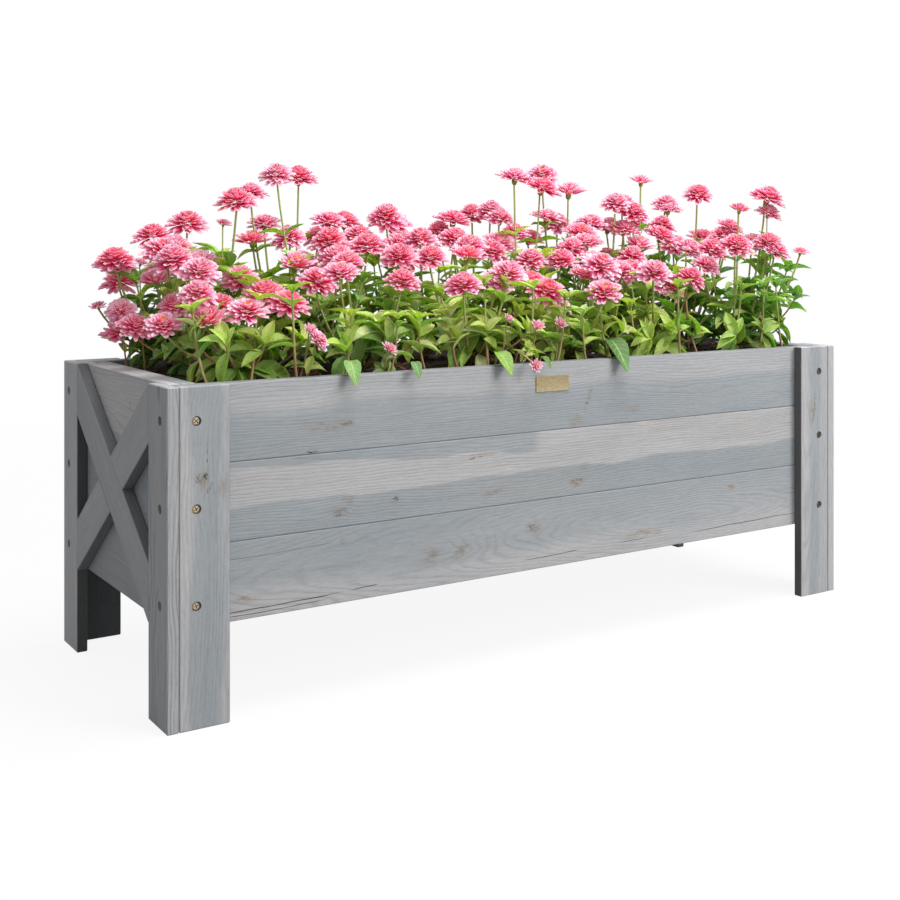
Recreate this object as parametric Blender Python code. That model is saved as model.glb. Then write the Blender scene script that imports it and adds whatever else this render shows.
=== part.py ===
"""A planted raised bed: a grey-stained timber box on four board legs, with crossed end
braces, a slatted floor, a fabric liner, soil and eighteen pink zinnia plants.

Metres, +Z up. The origin is on the ground under the middle of the box. +X runs along
the box to the right, and -Y is its front.
"""

import math
import random

import bmesh
import bpy
from mathutils import Matrix, Vector

# The box, outside
LENGTH = 1.225
DEPTH = 0.448
HEIGHT = 0.432
UNDERSIDE = 0.123  # the bottom edge of the walls, above the ground

# The timber
BOARD = 0.016  # thickness of the leg boards, the braces and the end planks
LONG_PLANK = 0.020  # thickness of the front and back planks
LEG_WIDTH = 0.068
PLANK_ROWS = 3
BRACE_CUT = 0.077  # how tall a brace's plumb-cut end stands against a leg
POST_THICKNESS = 0.020
POST_WIDTH = 0.030
RAIL_DROP = 0.030
LEDGER = 0.020
SLAT_COUNT = 6
SLAT_WIDTH = 0.150
SLAT_THICKNESS = 0.012
EDGE_EASE = 0.0012  # the small chamfer that a sanded edge has
FIT = 0.0003  # clearance between pieces that touch

# The screw seats in the leg boards
SEAT_DIAMETER = 0.013
SEAT_DEPTH = 0.005
SEAT_SIDES = 12
SEAT_HEIGHTS = (0.155, 0.277, 0.388)
SEAT_FROM_CORNER_FACE = 0.039  # on the front and back leg boards
SEAT_FROM_CORNER_SIDE = 0.026  # on the side leg boards: the middle of a plank's end grain

# The bare plate on the front
PLATE_WIDTH = 0.062
PLATE_HEIGHT = 0.024
PLATE_THICKNESS = 0.0012
PLATE_CORNER = 0.003
PLATE_BELOW_RIM = 0.032  # to its middle

# The filling
LINER = 0.001
LINER_BELOW_RIM = 0.010
SOIL_BELOW_RIM = 0.008

# The planting
COLUMNS = 6
ROWS = 3
STEMS_PER_PLANT = 5
PLANTING_SEED = 7
CANOPY = (  # height of the blooms of each plant, from the left end to the right one
    (0.540, 0.568, 0.568, 0.550, 0.560, 0.588),  # front row
    (0.572, 0.594, 0.600, 0.592, 0.584, 0.612),  # middle row
    (0.588, 0.626, 0.632, 0.634, 0.636, 0.662),  # back row
)
CANOPY_SPREAD = 0.026
BLOOM_DIAMETERS = (0.056, 0.070)
BLOOM_SIDES = 6
STEM_RADIUS = 0.0022
STEM_SIDES = 4
CROWN_RADIUS = 0.011
CROWN_HEIGHT = 0.020
CROWN_SIDES = 8
STEM_START = 0.6  # how far out on the crown a stem grows, as a share of its radius
ELBOW_OUT = 0.62  # where a stem steepens, as a share of its way out and of its way up
ELBOW_UP = 0.42
LEAF_LENGTH = 0.055
LEAF_WIDTH = 0.026
LEAF_THICKNESS = 0.0012
CELL_MARGIN = 0.001

# The stems that stand clear of the canopy, lean out under it at the left end, or close a
# gap in it: where each bloom is, (x, y, height)
PLACED_STEMS = (
    (-0.580, 0.160, 0.515),
    (-0.555, 0.130, 0.475),
    (-0.505, 0.130, 0.620),
    (-0.450, 0.130, 0.640),
    (-0.340, 0.140, 0.690),
    (-0.260, 0.130, 0.715),
    (0.040, 0.130, 0.650),
    (0.120, 0.130, 0.665),
    (0.235, 0.130, 0.735),
    (0.305, 0.140, 0.705),
    (0.475, 0.130, 0.730),
    (0.540, 0.130, 0.685),
    (-0.570, 0.020, 0.490),
    (-0.520, -0.010, 0.520),
    (-0.425, 0.000, 0.670),
    (-0.360, 0.050, 0.715),
    (-0.160, 0.050, 0.650),
    (0.080, 0.000, 0.720),
    (0.160, 0.020, 0.705),
    (0.300, 0.000, 0.680),
    (0.360, 0.000, 0.665),
    (0.500, 0.000, 0.700),
    (-0.575, -0.110, 0.500),
    (0.475, -0.130, 0.670),
    (0.545, -0.130, 0.690),
    (0.575, -0.180, 0.595),
    (-0.550, 0.150, 0.550),
    (-0.570, 0.110, 0.585),
    (-0.535, 0.030, 0.555),
    (-0.530, -0.150, 0.505),
    (-0.520, -0.100, 0.570),
    (0.525, -0.150, 0.610),
    (0.550, -0.050, 0.640),
    (0.320, 0.000, 0.635),
    (0.255, 0.030, 0.610),
    (0.360, -0.020, 0.605),
    (-0.270, 0.000, 0.610),
)

# Lines that several pieces meet at, as distances from the middle
END_WALL = LENGTH / 2 - BOARD  # outer face of the end planks
SIDE_WALL = DEPTH / 2 - BOARD  # outer face of the long planks
INSIDE_X = END_WALL - BOARD - POST_THICKNESS
INSIDE_Y = SIDE_WALL - LONG_PLANK
SLAT_BOTTOM = UNDERSIDE + LEDGER + FIT
LINER_BOTTOM = SLAT_BOTTOM + SLAT_THICKNESS + FIT
SOIL_TOP = HEIGHT - SOIL_BELOW_RIM

STAINED_WOOD = ("stained_wood", (0.36, 0.39, 0.41), 0.75)
LINER_FELT = ("liner_felt", (0.02, 0.02, 0.02), 0.95)
POTTING_SOIL = ("potting_soil", (0.045, 0.028, 0.022), 0.95)
ZINNIA = ("zinnia", (0.55, 0.12, 0.20), 0.70)
BRASS_PLATE = ("brass_plate", (0.50, 0.40, 0.22), 0.40)


def clear_scene():
    for obj in list(bpy.data.objects):
        bpy.data.objects.remove(obj, do_unlink=True)


def material(finish):
    """The finish as a Principled material, made once."""
    name, colour, roughness = finish
    made = bpy.data.materials.get(name)
    if made:
        return made
    made = bpy.data.materials.new(name)
    made.use_nodes = True
    shader = made.node_tree.nodes["Principled BSDF"]
    shader.inputs["Base Color"].default_value = (*colour, 1)
    shader.inputs["Roughness"].default_value = roughness
    shader.inputs["Metallic"].default_value = 0
    return made


def object_from(name, bm, finish, location=(0, 0, 0)):
    """A scene object from a bmesh, which is freed."""
    bmesh.ops.recalc_face_normals(bm, faces=bm.faces)
    mesh = bpy.data.meshes.new(name)
    bm.to_mesh(mesh)
    bm.free()
    mesh.materials.append(material(finish))
    obj = bpy.data.objects.new(name, mesh)
    obj.location = location
    bpy.context.scene.collection.objects.link(obj)
    return obj


def helper(obj):
    """Marks a cutter or a joined-on piece, which is no node of its own."""
    obj.hide_render = True
    obj.display_type = "WIRE"
    return obj


def ease_edges(obj):
    bevel = obj.modifiers.new("eased_edges", "BEVEL")
    bevel.width = EDGE_EASE
    bevel.segments = 1


def boolean(obj, other, operation, merge_self=False):
    cut = obj.modifiers.new(other.name, "BOOLEAN")
    cut.operation = operation
    cut.object = other
    cut.use_self = merge_self


def box(name, low, high, finish):
    """A box between two corners, with its origin at its middle."""
    low, high = Vector(low), Vector(high)
    bm = bmesh.new()
    bmesh.ops.create_cube(bm, size=1, matrix=Matrix.Diagonal((*(high - low), 1)))
    return object_from(name, bm, finish, (low + high) / 2)


def board(name, low, high):
    obj = box(name, low, high, STAINED_WOOD)
    ease_edges(obj)
    return obj


def between(sign, near, far):
    """The range of two distances from the middle, on the side that sign says."""
    return sorted((sign * near, sign * far))


def screw_seats(leg_board, axis, places):
    """Cuts round seats for screw heads into a leg board's outer face. Each place is the
    middle of the seat's mouth, and axis points out of the board."""
    bm = bmesh.new()
    turn = Vector(axis).to_track_quat("Z", "Y").to_matrix().to_4x4()
    for place in places:
        bmesh.ops.create_cone(
            bm,
            cap_ends=True,
            segments=SEAT_SIDES,
            radius1=SEAT_DIAMETER / 2,
            radius2=SEAT_DIAMETER / 2,
            depth=2 * SEAT_DEPTH,
            matrix=Matrix.Translation(place) @ turn,
        )
    cutter = helper(object_from(leg_board.name + "_seats", bm, STAINED_WOOD))
    boolean(leg_board, cutter, "DIFFERENCE")


def corner_legs():
    """Four legs of two boards each. The side board runs past the face board's edge."""
    for end, end_sign in (("left", -1), ("right", 1)):
        for side, side_sign in (("front", -1), ("back", 1)):
            outer_x, outer_y = LENGTH / 2, DEPTH / 2
            x0, x1 = between(end_sign, outer_x - BOARD - FIT, outer_x - BOARD - LEG_WIDTH)
            y0, y1 = between(side_sign, outer_y, outer_y - BOARD)
            face = board(f"leg_{side}_{end}_face_board", (x0, y0, 0), (x1, y1, HEIGHT))
            screw_seats(
                face,
                (0, side_sign, 0),
                [
                    (end_sign * (outer_x - SEAT_FROM_CORNER_FACE), side_sign * outer_y, z)
                    for z in SEAT_HEIGHTS
                ],
            )
            x0, x1 = between(end_sign, outer_x, outer_x - BOARD)
            y0, y1 = between(side_sign, outer_y, outer_y - LEG_WIDTH)
            side_board = board(f"leg_{side}_{end}_side_board", (x0, y0, 0), (x1, y1, HEIGHT))
            screw_seats(
                side_board,
                (end_sign, 0, 0),
                [
                    (end_sign * outer_x, side_sign * (outer_y - SEAT_FROM_CORNER_SIDE), z)
                    for z in SEAT_HEIGHTS
                ],
            )


def plank_rows():
    """The name and the z range of each row of planks, bottom to top."""
    pitch = (HEIGHT - UNDERSIDE) / PLANK_ROWS
    for row, name in enumerate(("bottom", "middle", "top")):
        yield name, UNDERSIDE + row * pitch, UNDERSIDE + (row + 1) * pitch - FIT


def wall_planks():
    for row, z0, z1 in plank_rows():
        for side, sign in (("front", -1), ("back", 1)):
            y0, y1 = between(sign, SIDE_WALL - FIT, INSIDE_Y)
            reach = END_WALL - FIT
            board(f"{side}_plank_{row}", (-reach, y0, z0), (reach, y1, z1))
        for end, sign in (("left", -1), ("right", 1)):
            x0, x1 = between(sign, END_WALL - FIT, END_WALL - BOARD)
            reach = INSIDE_Y - FIT
            board(f"{end}_end_plank_{row}", (x0, -reach, z0), (x1, reach, z1))


def brace_prism(name, lean, x_range, grow=0.0):
    """A slanting board between the leg boards of one end. With lean 1 it rises to the
    back and with -1 to the front, and grow widens it, for a cutter."""
    foot_y = lean * -(DEPTH / 2 - LEG_WIDTH - FIT)
    outline = (
        (foot_y, UNDERSIDE - grow),
        (-foot_y, HEIGHT - BRACE_CUT - grow),
        (-foot_y, HEIGHT + grow),
        (foot_y, UNDERSIDE + BRACE_CUT + grow),
    )
    bm = bmesh.new()
    face = bm.faces.new([bm.verts.new((x_range[0], y, z)) for y, z in outline])
    pushed = bmesh.ops.extrude_face_region(bm, geom=[face])["geom"]
    corners = [v for v in pushed if isinstance(v, bmesh.types.BMVert)]
    bmesh.ops.translate(bm, verts=corners, vec=(x_range[1] - x_range[0], 0, 0))
    return object_from(name, bm, STAINED_WOOD)


def end_braces():
    """Two crossed boards at each end, halved into each other so that they lie flush."""
    for end, sign in (("left", -1), ("right", 1)):
        outer, inner = sign * LENGTH / 2, sign * (LENGTH / 2 - BOARD + FIT)
        middle = (outer + inner) / 2
        past = sign * BOARD
        for name, lean, notch in (
            ("rising_back", 1, (inner - past, middle + sign * FIT / 2)),
            ("rising_front", -1, (middle - sign * FIT / 2, outer + past)),
        ):
            brace = brace_prism(f"{end}_brace_{name}", lean, (outer, inner))
            ease_edges(brace)
            lap = brace_prism(brace.name + "_lap", -lean, notch, grow=FIT)
            boolean(brace, helper(lap), "DIFFERENCE")


def inner_frame():
    """Corner posts that the walls are screwed to, and a rail along the top of each end."""
    for end, end_sign in (("left", -1), ("right", 1)):
        x0, x1 = between(end_sign, INSIDE_X, INSIDE_X + POST_THICKNESS - FIT)
        for side, side_sign in (("front", -1), ("back", 1)):
            y0, y1 = between(side_sign, INSIDE_Y - FIT, INSIDE_Y - POST_WIDTH)
            board(f"corner_post_{side}_{end}", (x0, y0, UNDERSIDE), (x1, y1, HEIGHT))
        reach = INSIDE_Y - POST_WIDTH - FIT
        board(f"{end}_top_rail", (x0, -reach, HEIGHT - RAIL_DROP), (x1, reach, HEIGHT))


def floor():
    """Ledgers along the long walls and the spaced slats that lie across them."""
    reach = INSIDE_X - FIT
    for side, sign in (("front", -1), ("back", 1)):
        y0, y1 = between(sign, INSIDE_Y - FIT, INSIDE_Y - LEDGER)
        board(f"{side}_ledger", (-reach, y0, UNDERSIDE), (reach, y1, UNDERSIDE + LEDGER))
    pitch = (2 * reach - SLAT_WIDTH) / (SLAT_COUNT - 1)
    for number in range(SLAT_COUNT):
        x = -reach + number * pitch
        low = (x, -INSIDE_Y + FIT, SLAT_BOTTOM)
        high = (x + SLAT_WIDTH, INSIDE_Y - FIT, SLAT_BOTTOM + SLAT_THICKNESS)
        board(f"floor_slat_{number + 1}", low, high)


def bare_plate():
    """A thin plate with clipped corners, on the middle of the front's top plank."""
    y0, y1 = -SIDE_WALL - PLATE_THICKNESS, -SIDE_WALL - FIT
    z = HEIGHT - PLATE_BELOW_RIM
    plate = box(
        "bare_plate",
        (-PLATE_WIDTH / 2, y0, z - PLATE_HEIGHT / 2),
        (PLATE_WIDTH / 2, y1, z + PLATE_HEIGHT / 2),
        BRASS_PLATE,
    )
    bm = bmesh.new()
    bm.from_mesh(plate.data)
    corners = [e for e in bm.edges if abs((e.verts[0].co - e.verts[1].co).normalized().y) > 0.9]
    bmesh.ops.bevel(bm, geom=corners, offset=PLATE_CORNER, segments=2, affect="EDGES", profile=0.5)
    bm.to_mesh(plate.data)
    bm.free()


def liner():
    """An open felt tray: a box without its lid, thickened inwards."""
    reach_x, reach_y = INSIDE_X - FIT, INSIDE_Y - FIT
    top = HEIGHT - LINER_BELOW_RIM
    tray = box(
        "bed_liner", (-reach_x, -reach_y, LINER_BOTTOM), (reach_x, reach_y, top), LINER_FELT
    )
    bm = bmesh.new()
    bm.from_mesh(tray.data)
    lid = [f for f in bm.faces if f.normal.z > 0.5]
    bmesh.ops.delete(bm, geom=lid, context="FACES_ONLY")
    bm.to_mesh(tray.data)
    bm.free()
    wall = tray.modifiers.new("felt", "SOLIDIFY")
    wall.thickness = LINER
    wall.offset = -1
    wall.use_even_offset = True


def soil():
    reach_x, reach_y = INSIDE_X - 2 * FIT - LINER, INSIDE_Y - 2 * FIT - LINER
    bottom = LINER_BOTTOM + LINER + FIT
    box("soil", (-reach_x, -reach_y, bottom), (reach_x, reach_y, SOIL_TOP), POTTING_SOIL)


def cell_edges(count, inside, outside):
    """Where neighbouring cells meet along one side of the bed. The first and the last
    cell reach out over the walls."""
    edges = [-inside + 2 * inside * number / count for number in range(count + 1)]
    return [-outside, *edges[1:-1], outside]


class Cell:
    """The room that one plant has to itself, so that no two plants cross."""

    def __init__(self, column, row):
        x_edges = cell_edges(COLUMNS, INSIDE_X, LENGTH / 2)
        y_edges = cell_edges(ROWS, INSIDE_Y, DEPTH / 2)
        self.low = Vector((x_edges[column], y_edges[row]))
        self.high = Vector((x_edges[column + 1], y_edges[row + 1]))
        self.half = Vector((INSIDE_X / COLUMNS, INSIDE_Y / ROWS))
        self.centre = Vector(
            (
                -INSIDE_X + (2 * column + 1) * self.half.x,
                -INSIDE_Y + (2 * row + 1) * self.half.y,
            )
        )

    def holds(self, x, y):
        return self.low.x < x < self.high.x and self.low.y < y < self.high.y

    def kept_inside(self, point, clear):
        """point, moved in to stay at least clear from the cell's edges."""
        kept = Vector(point)
        for axis in (0, 1):
            lowest = self.low[axis] + clear + CELL_MARGIN
            highest = self.high[axis] - clear - CELL_MARGIN
            kept[axis] = max(lowest, min(highest, kept[axis]))
        return kept


def flowering_stems(column, row):
    """Where each bloom of one plant is and how wide: the ring of stems that makes the
    canopy, and then the placed stems that grow in this cell."""
    cell = Cell(column, row)
    chance = random.Random(PLANTING_SEED + 100 * row + column)
    first_angle = chance.uniform(0, math.tau)
    blooms = []
    for number in range(STEMS_PER_PLANT):
        angle = first_angle + math.tau * number / STEMS_PER_PLANT + chance.uniform(-0.3, 0.3)
        reach = chance.uniform(0.7, 1.1)
        x = cell.centre.x + reach * cell.half.x * math.cos(angle)
        y = cell.centre.y + reach * cell.half.y * math.sin(angle)
        height = CANOPY[row][column] + chance.uniform(-CANOPY_SPREAD, CANOPY_SPREAD)
        diameter = chance.uniform(*BLOOM_DIAMETERS)
        blooms.append((cell.kept_inside((x, y, height), diameter / 2), diameter))
    for x, y, height in PLACED_STEMS:
        if cell.holds(x, y):
            diameter = chance.uniform(*BLOOM_DIAMETERS)
            blooms.append((cell.kept_inside((x, y, height), diameter / 2), diameter))
    return cell, blooms


def add_tube(bm, path, radius, sides):
    """A closed tube along a path that mostly climbs."""
    rings = []
    for here in path:
        ring = []
        for side in range(sides):
            angle = math.tau * side / sides
            offset = Vector((math.cos(angle), math.sin(angle), 0)) * radius
            ring.append(bm.verts.new(here + offset))
        rings.append(ring)
    for low, high in zip(rings, rings[1:]):
        for side in range(sides):
            following = (side + 1) % sides
            bm.faces.new((low[side], low[following], high[following], high[side]))
    bm.faces.new(rings[0][::-1])
    bm.faces.new(rings[-1])


def add_bloom(bm, centre, diameter, turn):
    """A low-sided bloom: the cup under the petals, their edge, and the domed top."""
    radius = diameter / 2
    profile = ((1.0, 0.0), (0.76, 0.40))
    rings = []
    for across, up in profile:
        ring = []
        for side in range(BLOOM_SIDES):
            angle = turn + math.tau * side / BLOOM_SIDES
            out = Vector((math.cos(angle), math.sin(angle), 0)) * radius * across
            ring.append(bm.verts.new(centre + out + Vector((0, 0, up * radius))))
        rings.append(ring)
    bottom = bm.verts.new(centre - Vector((0, 0, 0.45 * radius)))
    top = bm.verts.new(centre + Vector((0, 0, 0.60 * radius)))
    edge, shoulder = rings
    for side in range(BLOOM_SIDES):
        following = (side + 1) % BLOOM_SIDES
        bm.faces.new((bottom, edge[following], edge[side]))
        bm.faces.new((edge[side], edge[following], shoulder[following], shoulder[side]))
        bm.faces.new((top, shoulder[side], shoulder[following]))


def add_leaf(bm, cell, foot, heading):
    """A kite-shaped blade as thick as a real leaf, whose foot lies in its stem."""
    out = Vector((math.cos(heading), math.sin(heading), -0.2)) * LEAF_LENGTH
    tip = cell.kept_inside(foot + out, LEAF_THICKNESS)
    along = tip - foot
    if along.length < LEAF_LENGTH / 2:
        return
    across = along.cross(Vector((0, 0, 1))).normalized() * LEAF_WIDTH / 2
    up = across.cross(along).normalized() * LEAF_THICKNESS / 2
    behind = foot - along.normalized() * STEM_RADIUS
    widest = foot + 0.45 * along
    outline = [
        cell.kept_inside(point, LEAF_THICKNESS)
        for point in (behind, widest - across, tip, widest + across)
    ]
    top = [bm.verts.new(point + up) for point in outline]
    bottom = [bm.verts.new(point - up) for point in outline]
    bm.faces.new(top)
    bm.faces.new(bottom[::-1])
    for side in range(len(outline)):
        following = (side + 1) % len(outline)
        bm.faces.new((top[following], top[side], bottom[side], bottom[following]))


def stem_path(root, bloom):
    """From the crown out and up to the bloom, steeper as it climbs."""
    spread = bloom - root
    outward = Vector((spread.x, spread.y, 0)).normalized()
    start = root + STEM_START * CROWN_RADIUS * outward
    elbow = root + Vector((spread.x * ELBOW_OUT, spread.y * ELBOW_OUT, spread.z * ELBOW_UP))
    return (start, elbow, bloom)


def zinnia(column, row):
    cell, blooms = flowering_stems(column, row)
    chance = random.Random(PLANTING_SEED + 1000 + 100 * row + column)
    ground = Vector((*cell.centre, SOIL_TOP + FIT))
    root = ground + Vector((0, 0, CROWN_HEIGHT / 2))
    bm = bmesh.new()
    for number, (bloom, diameter) in enumerate(blooms):
        path = stem_path(root, bloom)
        add_tube(bm, path, STEM_RADIUS, STEM_SIDES)
        add_bloom(bm, bloom, diameter, chance.uniform(0, math.tau))
        heading = chance.uniform(0, math.tau)
        foot = path[1].lerp(path[2], chance.uniform(0.05, 0.30))
        if number % 2 == 0:
            add_leaf(bm, cell, foot, heading)
            add_leaf(bm, cell, foot, heading + math.pi)
    name = f"zinnia_{ROWS * column + row + 1:02d}"
    plant = object_from(name, bm, ZINNIA)
    crown = bmesh.new()
    bmesh.ops.create_cone(
        crown,
        cap_ends=True,
        segments=CROWN_SIDES,
        radius1=CROWN_RADIUS,
        radius2=0.6 * CROWN_RADIUS,
        depth=CROWN_HEIGHT,
        matrix=Matrix.Translation(root),
    )
    boolean(plant, helper(object_from(name + "_crown", crown, ZINNIA)), "UNION", True)


def main():
    clear_scene()
    corner_legs()
    wall_planks()
    end_braces()
    inner_frame()
    floor()
    bare_plate()
    liner()
    soil()
    for column in range(COLUMNS):
        for row in range(ROWS):
            zinnia(column, row)


main()
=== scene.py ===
# %% [markdown]
# # A planted raised bed
#
# A long grey-stained timber box stands on four board legs. It is filled with dark soil,
# and pink double zinnias grow out of it. The timber parts come from the frame, a model
# that already has every board at its real size, and here they get their stained wood.
# The soil, the screws, the bare plate and the plants are modelled here.

import math
import random

import bmesh
import bpy
from mathutils import Matrix, Vector


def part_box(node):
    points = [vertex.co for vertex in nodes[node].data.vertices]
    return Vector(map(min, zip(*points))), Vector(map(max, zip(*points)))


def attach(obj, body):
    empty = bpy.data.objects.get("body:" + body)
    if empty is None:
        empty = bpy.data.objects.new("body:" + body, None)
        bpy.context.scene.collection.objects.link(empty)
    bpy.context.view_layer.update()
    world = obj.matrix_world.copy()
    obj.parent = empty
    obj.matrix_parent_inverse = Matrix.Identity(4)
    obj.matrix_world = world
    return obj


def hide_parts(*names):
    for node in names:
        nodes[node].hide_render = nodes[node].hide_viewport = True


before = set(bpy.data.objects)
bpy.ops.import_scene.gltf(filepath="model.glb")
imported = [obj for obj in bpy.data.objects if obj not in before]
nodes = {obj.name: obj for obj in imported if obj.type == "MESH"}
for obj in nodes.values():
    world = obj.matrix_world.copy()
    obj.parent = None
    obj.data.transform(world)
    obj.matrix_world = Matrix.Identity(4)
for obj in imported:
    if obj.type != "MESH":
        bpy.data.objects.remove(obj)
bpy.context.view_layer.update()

# %% [markdown]
# ## Where we look from
#
# The camera stands to the left of the bed and in front of it, at about the height of the
# flowers. It looks level, so that upright boards stay upright in the picture, and its
# lens is shifted down to take in the legs. The floor and the sky behind it make one white
# sweep: what the camera sees of it is plain white, but the floor still catches shadow.

# %% Camera
CAMERA_PLACE = Vector((-1.1655, -1.7291, 0.6104))
CAMERA_TURN = math.radians(-32.82)  # from looking along +Y, clockwise seen from above
LENS = 50.47
LENS_SHIFT = -0.2286


def linked(name, data):
    """A new object in the scene, made from its data."""
    made = bpy.data.objects.new(name, data)
    bpy.context.scene.collection.objects.link(made)
    return made


camera_data = bpy.data.cameras.new("camera")
camera_data.lens = LENS
camera_data.sensor_width = 36
camera_data.shift_y = LENS_SHIFT
camera_data.clip_end = 50
camera = linked("camera", camera_data)
camera.location = CAMERA_PLACE
camera.rotation_euler = (math.radians(90), 0, CAMERA_TURN)
bpy.context.scene.camera = camera
bpy.context.scene.view_settings.view_transform = "Standard"
print("camera at", tuple(CAMERA_PLACE))

# %% [markdown]
# ## A small language for materials
#
# Blender's materials are networks of nodes. Wiring them by hand in code is long, so two
# small classes help. A `Wire` is one output of a node, and it can be added, multiplied
# and compared like a number: each sum puts a Math node in the material. A `Finish` is a
# material under construction, and its `node` method adds any other node.

# %% Wires and finishes
class Wire:
    """One output of a node. Sums and products of wires add Math nodes."""

    def __init__(self, finish, socket):
        self.finish = finish
        self.socket = socket

    def maths(self, operation, *values, clamp=False):
        settings = {"operation": operation, "use_clamp": clamp}
        return self.finish.node("Math", settings, dict(enumerate(values)))

    def beside(self, *names):
        """Outputs of the same node."""
        return [Wire(self.finish, self.socket.node.outputs[name]) for name in names]

    def clamped(self):
        return self.maths("ADD", self, 0.0, clamp=True)

    def step(self, low, high):
        """0 below low and 1 above high, with a smooth slope between them."""
        inputs = {"Value": self, "From Min": low, "From Max": high}
        return self.finish.node("MapRange", {"interpolation_type": "SMOOTHSTEP"}, inputs)


# Python calls __add__ for a sum, and __radd__ where the first term is a plain number
SUMS = {"add": "ADD", "sub": "SUBTRACT", "mul": "MULTIPLY", "truediv": "DIVIDE", "pow": "POWER"}
for name, operation in SUMS.items():
    setattr(Wire, f"__{name}__", lambda a, b, kind=operation: a.maths(kind, a, b))
    setattr(Wire, f"__r{name}__", lambda a, b, kind=operation: a.maths(kind, b, a))
for name, operation in {"sine": "SINE", "size": "ABSOLUTE", "root": "SQRT"}.items():
    setattr(Wire, name, lambda a, kind=operation: a.maths(kind, a))


class Finish:
    """A material being wired up around one Principled shader."""

    def __init__(self, name, **plain):
        self.material = bpy.data.materials.new(name)
        self.material.use_nodes = True
        self.tree = self.material.node_tree
        self.shader = self.tree.nodes["Principled BSDF"]
        for socket, value in plain.items():
            self.feed(self.shader.inputs[socket.replace("_", " ")], value)

    def node(self, kind, settings=None, inputs=None, output=0):
        """Adds a node, sets it up, connects its sockets and returns one output."""
        made = self.tree.nodes.new("ShaderNode" + kind)
        for name, value in (settings or {}).items():
            setattr(made, name, value)
        for name, value in (inputs or {}).items():
            self.feed(made.inputs[name], value)
        return Wire(self, made.outputs[output])

    def feed(self, socket, value):
        if isinstance(value, Wire):
            self.tree.links.new(value.socket, socket)
        else:
            socket.default_value = value

    def axes(self, vector):
        """A vector's three numbers."""
        return self.node("SeparateXYZ", None, {0: vector}).beside(0, 1, 2)

    def place(self):
        """The point on the object, as a vector."""
        return self.node("TexCoord", output="Object")

    def own(self, name):
        """A number that a piece carries on its points."""
        return self.node("Attribute", {"attribute_name": name}, None, 2)

    def vector(self, x, y, z):
        return self.node("CombineXYZ", None, {0: x, 1: y, 2: z})

    def grey(self, light):
        return self.vector(light, light, light)

    def noise(self, vector, scale=1.0, detail=2.0, roughness=0.5, warp=0.0):
        inputs = {"Vector": vector, "Scale": scale, "Detail": detail}
        inputs.update({"Roughness": roughness, "Distortion": warp})
        return self.node("TexNoise", None, inputs)

    def mix(self, share, first, second, blend="MIX"):
        """One colour turned into another where share is 1."""
        settings = {"data_type": "RGBA", "blend_type": blend}
        colours = [c if isinstance(c, Wire) else (*c, 1) for c in (first, second)]
        return self.node("Mix", settings, {0: share, 6: colours[0], 7: colours[1]}, 2)

    def lit(self, colour, light):
        """A colour made darker or lighter: 1 leaves it as it is."""
        return self.mix(1.0, colour, self.grey(light), "MULTIPLY")

    def ramp(self, value, stops):
        """A colour for each value, blended between stops of (value, colour)."""
        made = self.node("ValToRGB", None, {0: value})
        elements = made.socket.node.color_ramp.elements
        for number, (place, colour) in enumerate(stops):
            stop = elements[number] if number < 2 else elements.new(1)
            stop.position = place
            stop.color = (*colour, 1)
        return made

    def done(self, colour, roughness, height, strength, distance):
        """Connects what varies over the surface, and returns the material."""
        bump = {"Height": height, "Strength": strength, "Distance": distance}
        looks = {"Base Color": colour, "Roughness": roughness}
        looks["Normal"] = self.node("Bump", None, bump)
        for socket, value in looks.items():
            self.feed(self.shader.inputs[socket], value)
        return self.material


def shade(*chart):
    """A colour as a paint chart gives it, from 0 to 255, in the units of a shader."""
    tones = [c / 255 for c in chart]
    return tuple(c / 12.92 if c <= 0.04045 else ((c + 0.055) / 1.055) ** 2.4 for c in tones)


# %% [markdown]
# ## Studio
#
# The floor is a wide plane. Where the camera looks at it, it is mostly white and keeps a
# soft trace of the shadow under the bed. For light that bounces it is a plain grey, so
# that the boards' undersides stay dark. A big soft lamp stands to the front right,
# because the long front of the bed is bright and its left end is in shade, and a weaker
# one above lights the flowers.

# %% Floor and lamps
FLOOR_SIZE = 24.0
FLOOR_SEEN, FLOOR_BOUNCE = 0.85, 0.2  # how light it is to the camera, and to bounced light
FLOOR_WHITE = 0.9  # the share of plain white in what the camera sees
FADE = (0.9, 3.2)  # how far from the bed the floor starts to be plain white, and is
SKY = 0.45  # how strongly the sky lights the bed


def floor_finish():
    """White for a ray that shows the floor, straight, mirrored or through glass."""
    finish = Finish("white_sweep", Roughness=0.9)
    kinds = ("Is Camera Ray", "Is Glossy Ray", "Is Transmission Ray")
    straight, mirrored, through = finish.node("LightPath").beside(*kinds)
    seen = (straight + mirrored + through).clamped()
    tone = FLOOR_BOUNCE + (FLOOR_SEEN - FLOOR_BOUNCE) * seen
    finish.feed(finish.shader.inputs["Base Color"], finish.grey(tone))
    white = finish.node("Emission", None, {"Color": (1, 1, 1, 1), "Strength": 1.0})
    matte = Wire(finish, finish.shader.outputs[0])
    x, y = finish.axes(finish.place())[:2]
    far = (x * x + y * y).root().step(*FADE)
    share = seen * (FLOOR_WHITE + (1 - FLOOR_WHITE) * far)
    both = finish.node("MixShader", None, {0: share, 1: matte, 2: white})
    finish.feed(finish.tree.nodes["Material Output"].inputs["Surface"], both)
    return finish.material


def soft_lamp(name, place, aim, size, watts):
    data = bpy.data.lights.new(name, "AREA")
    data.shape = "RECTANGLE"
    data.size, data.size_y = size
    data.energy = watts
    lamp = linked(name, data)
    lamp.location = place
    lamp.rotation_euler = (Vector(aim) - Vector(place)).to_track_quat("-Z", "Y").to_euler()


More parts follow.
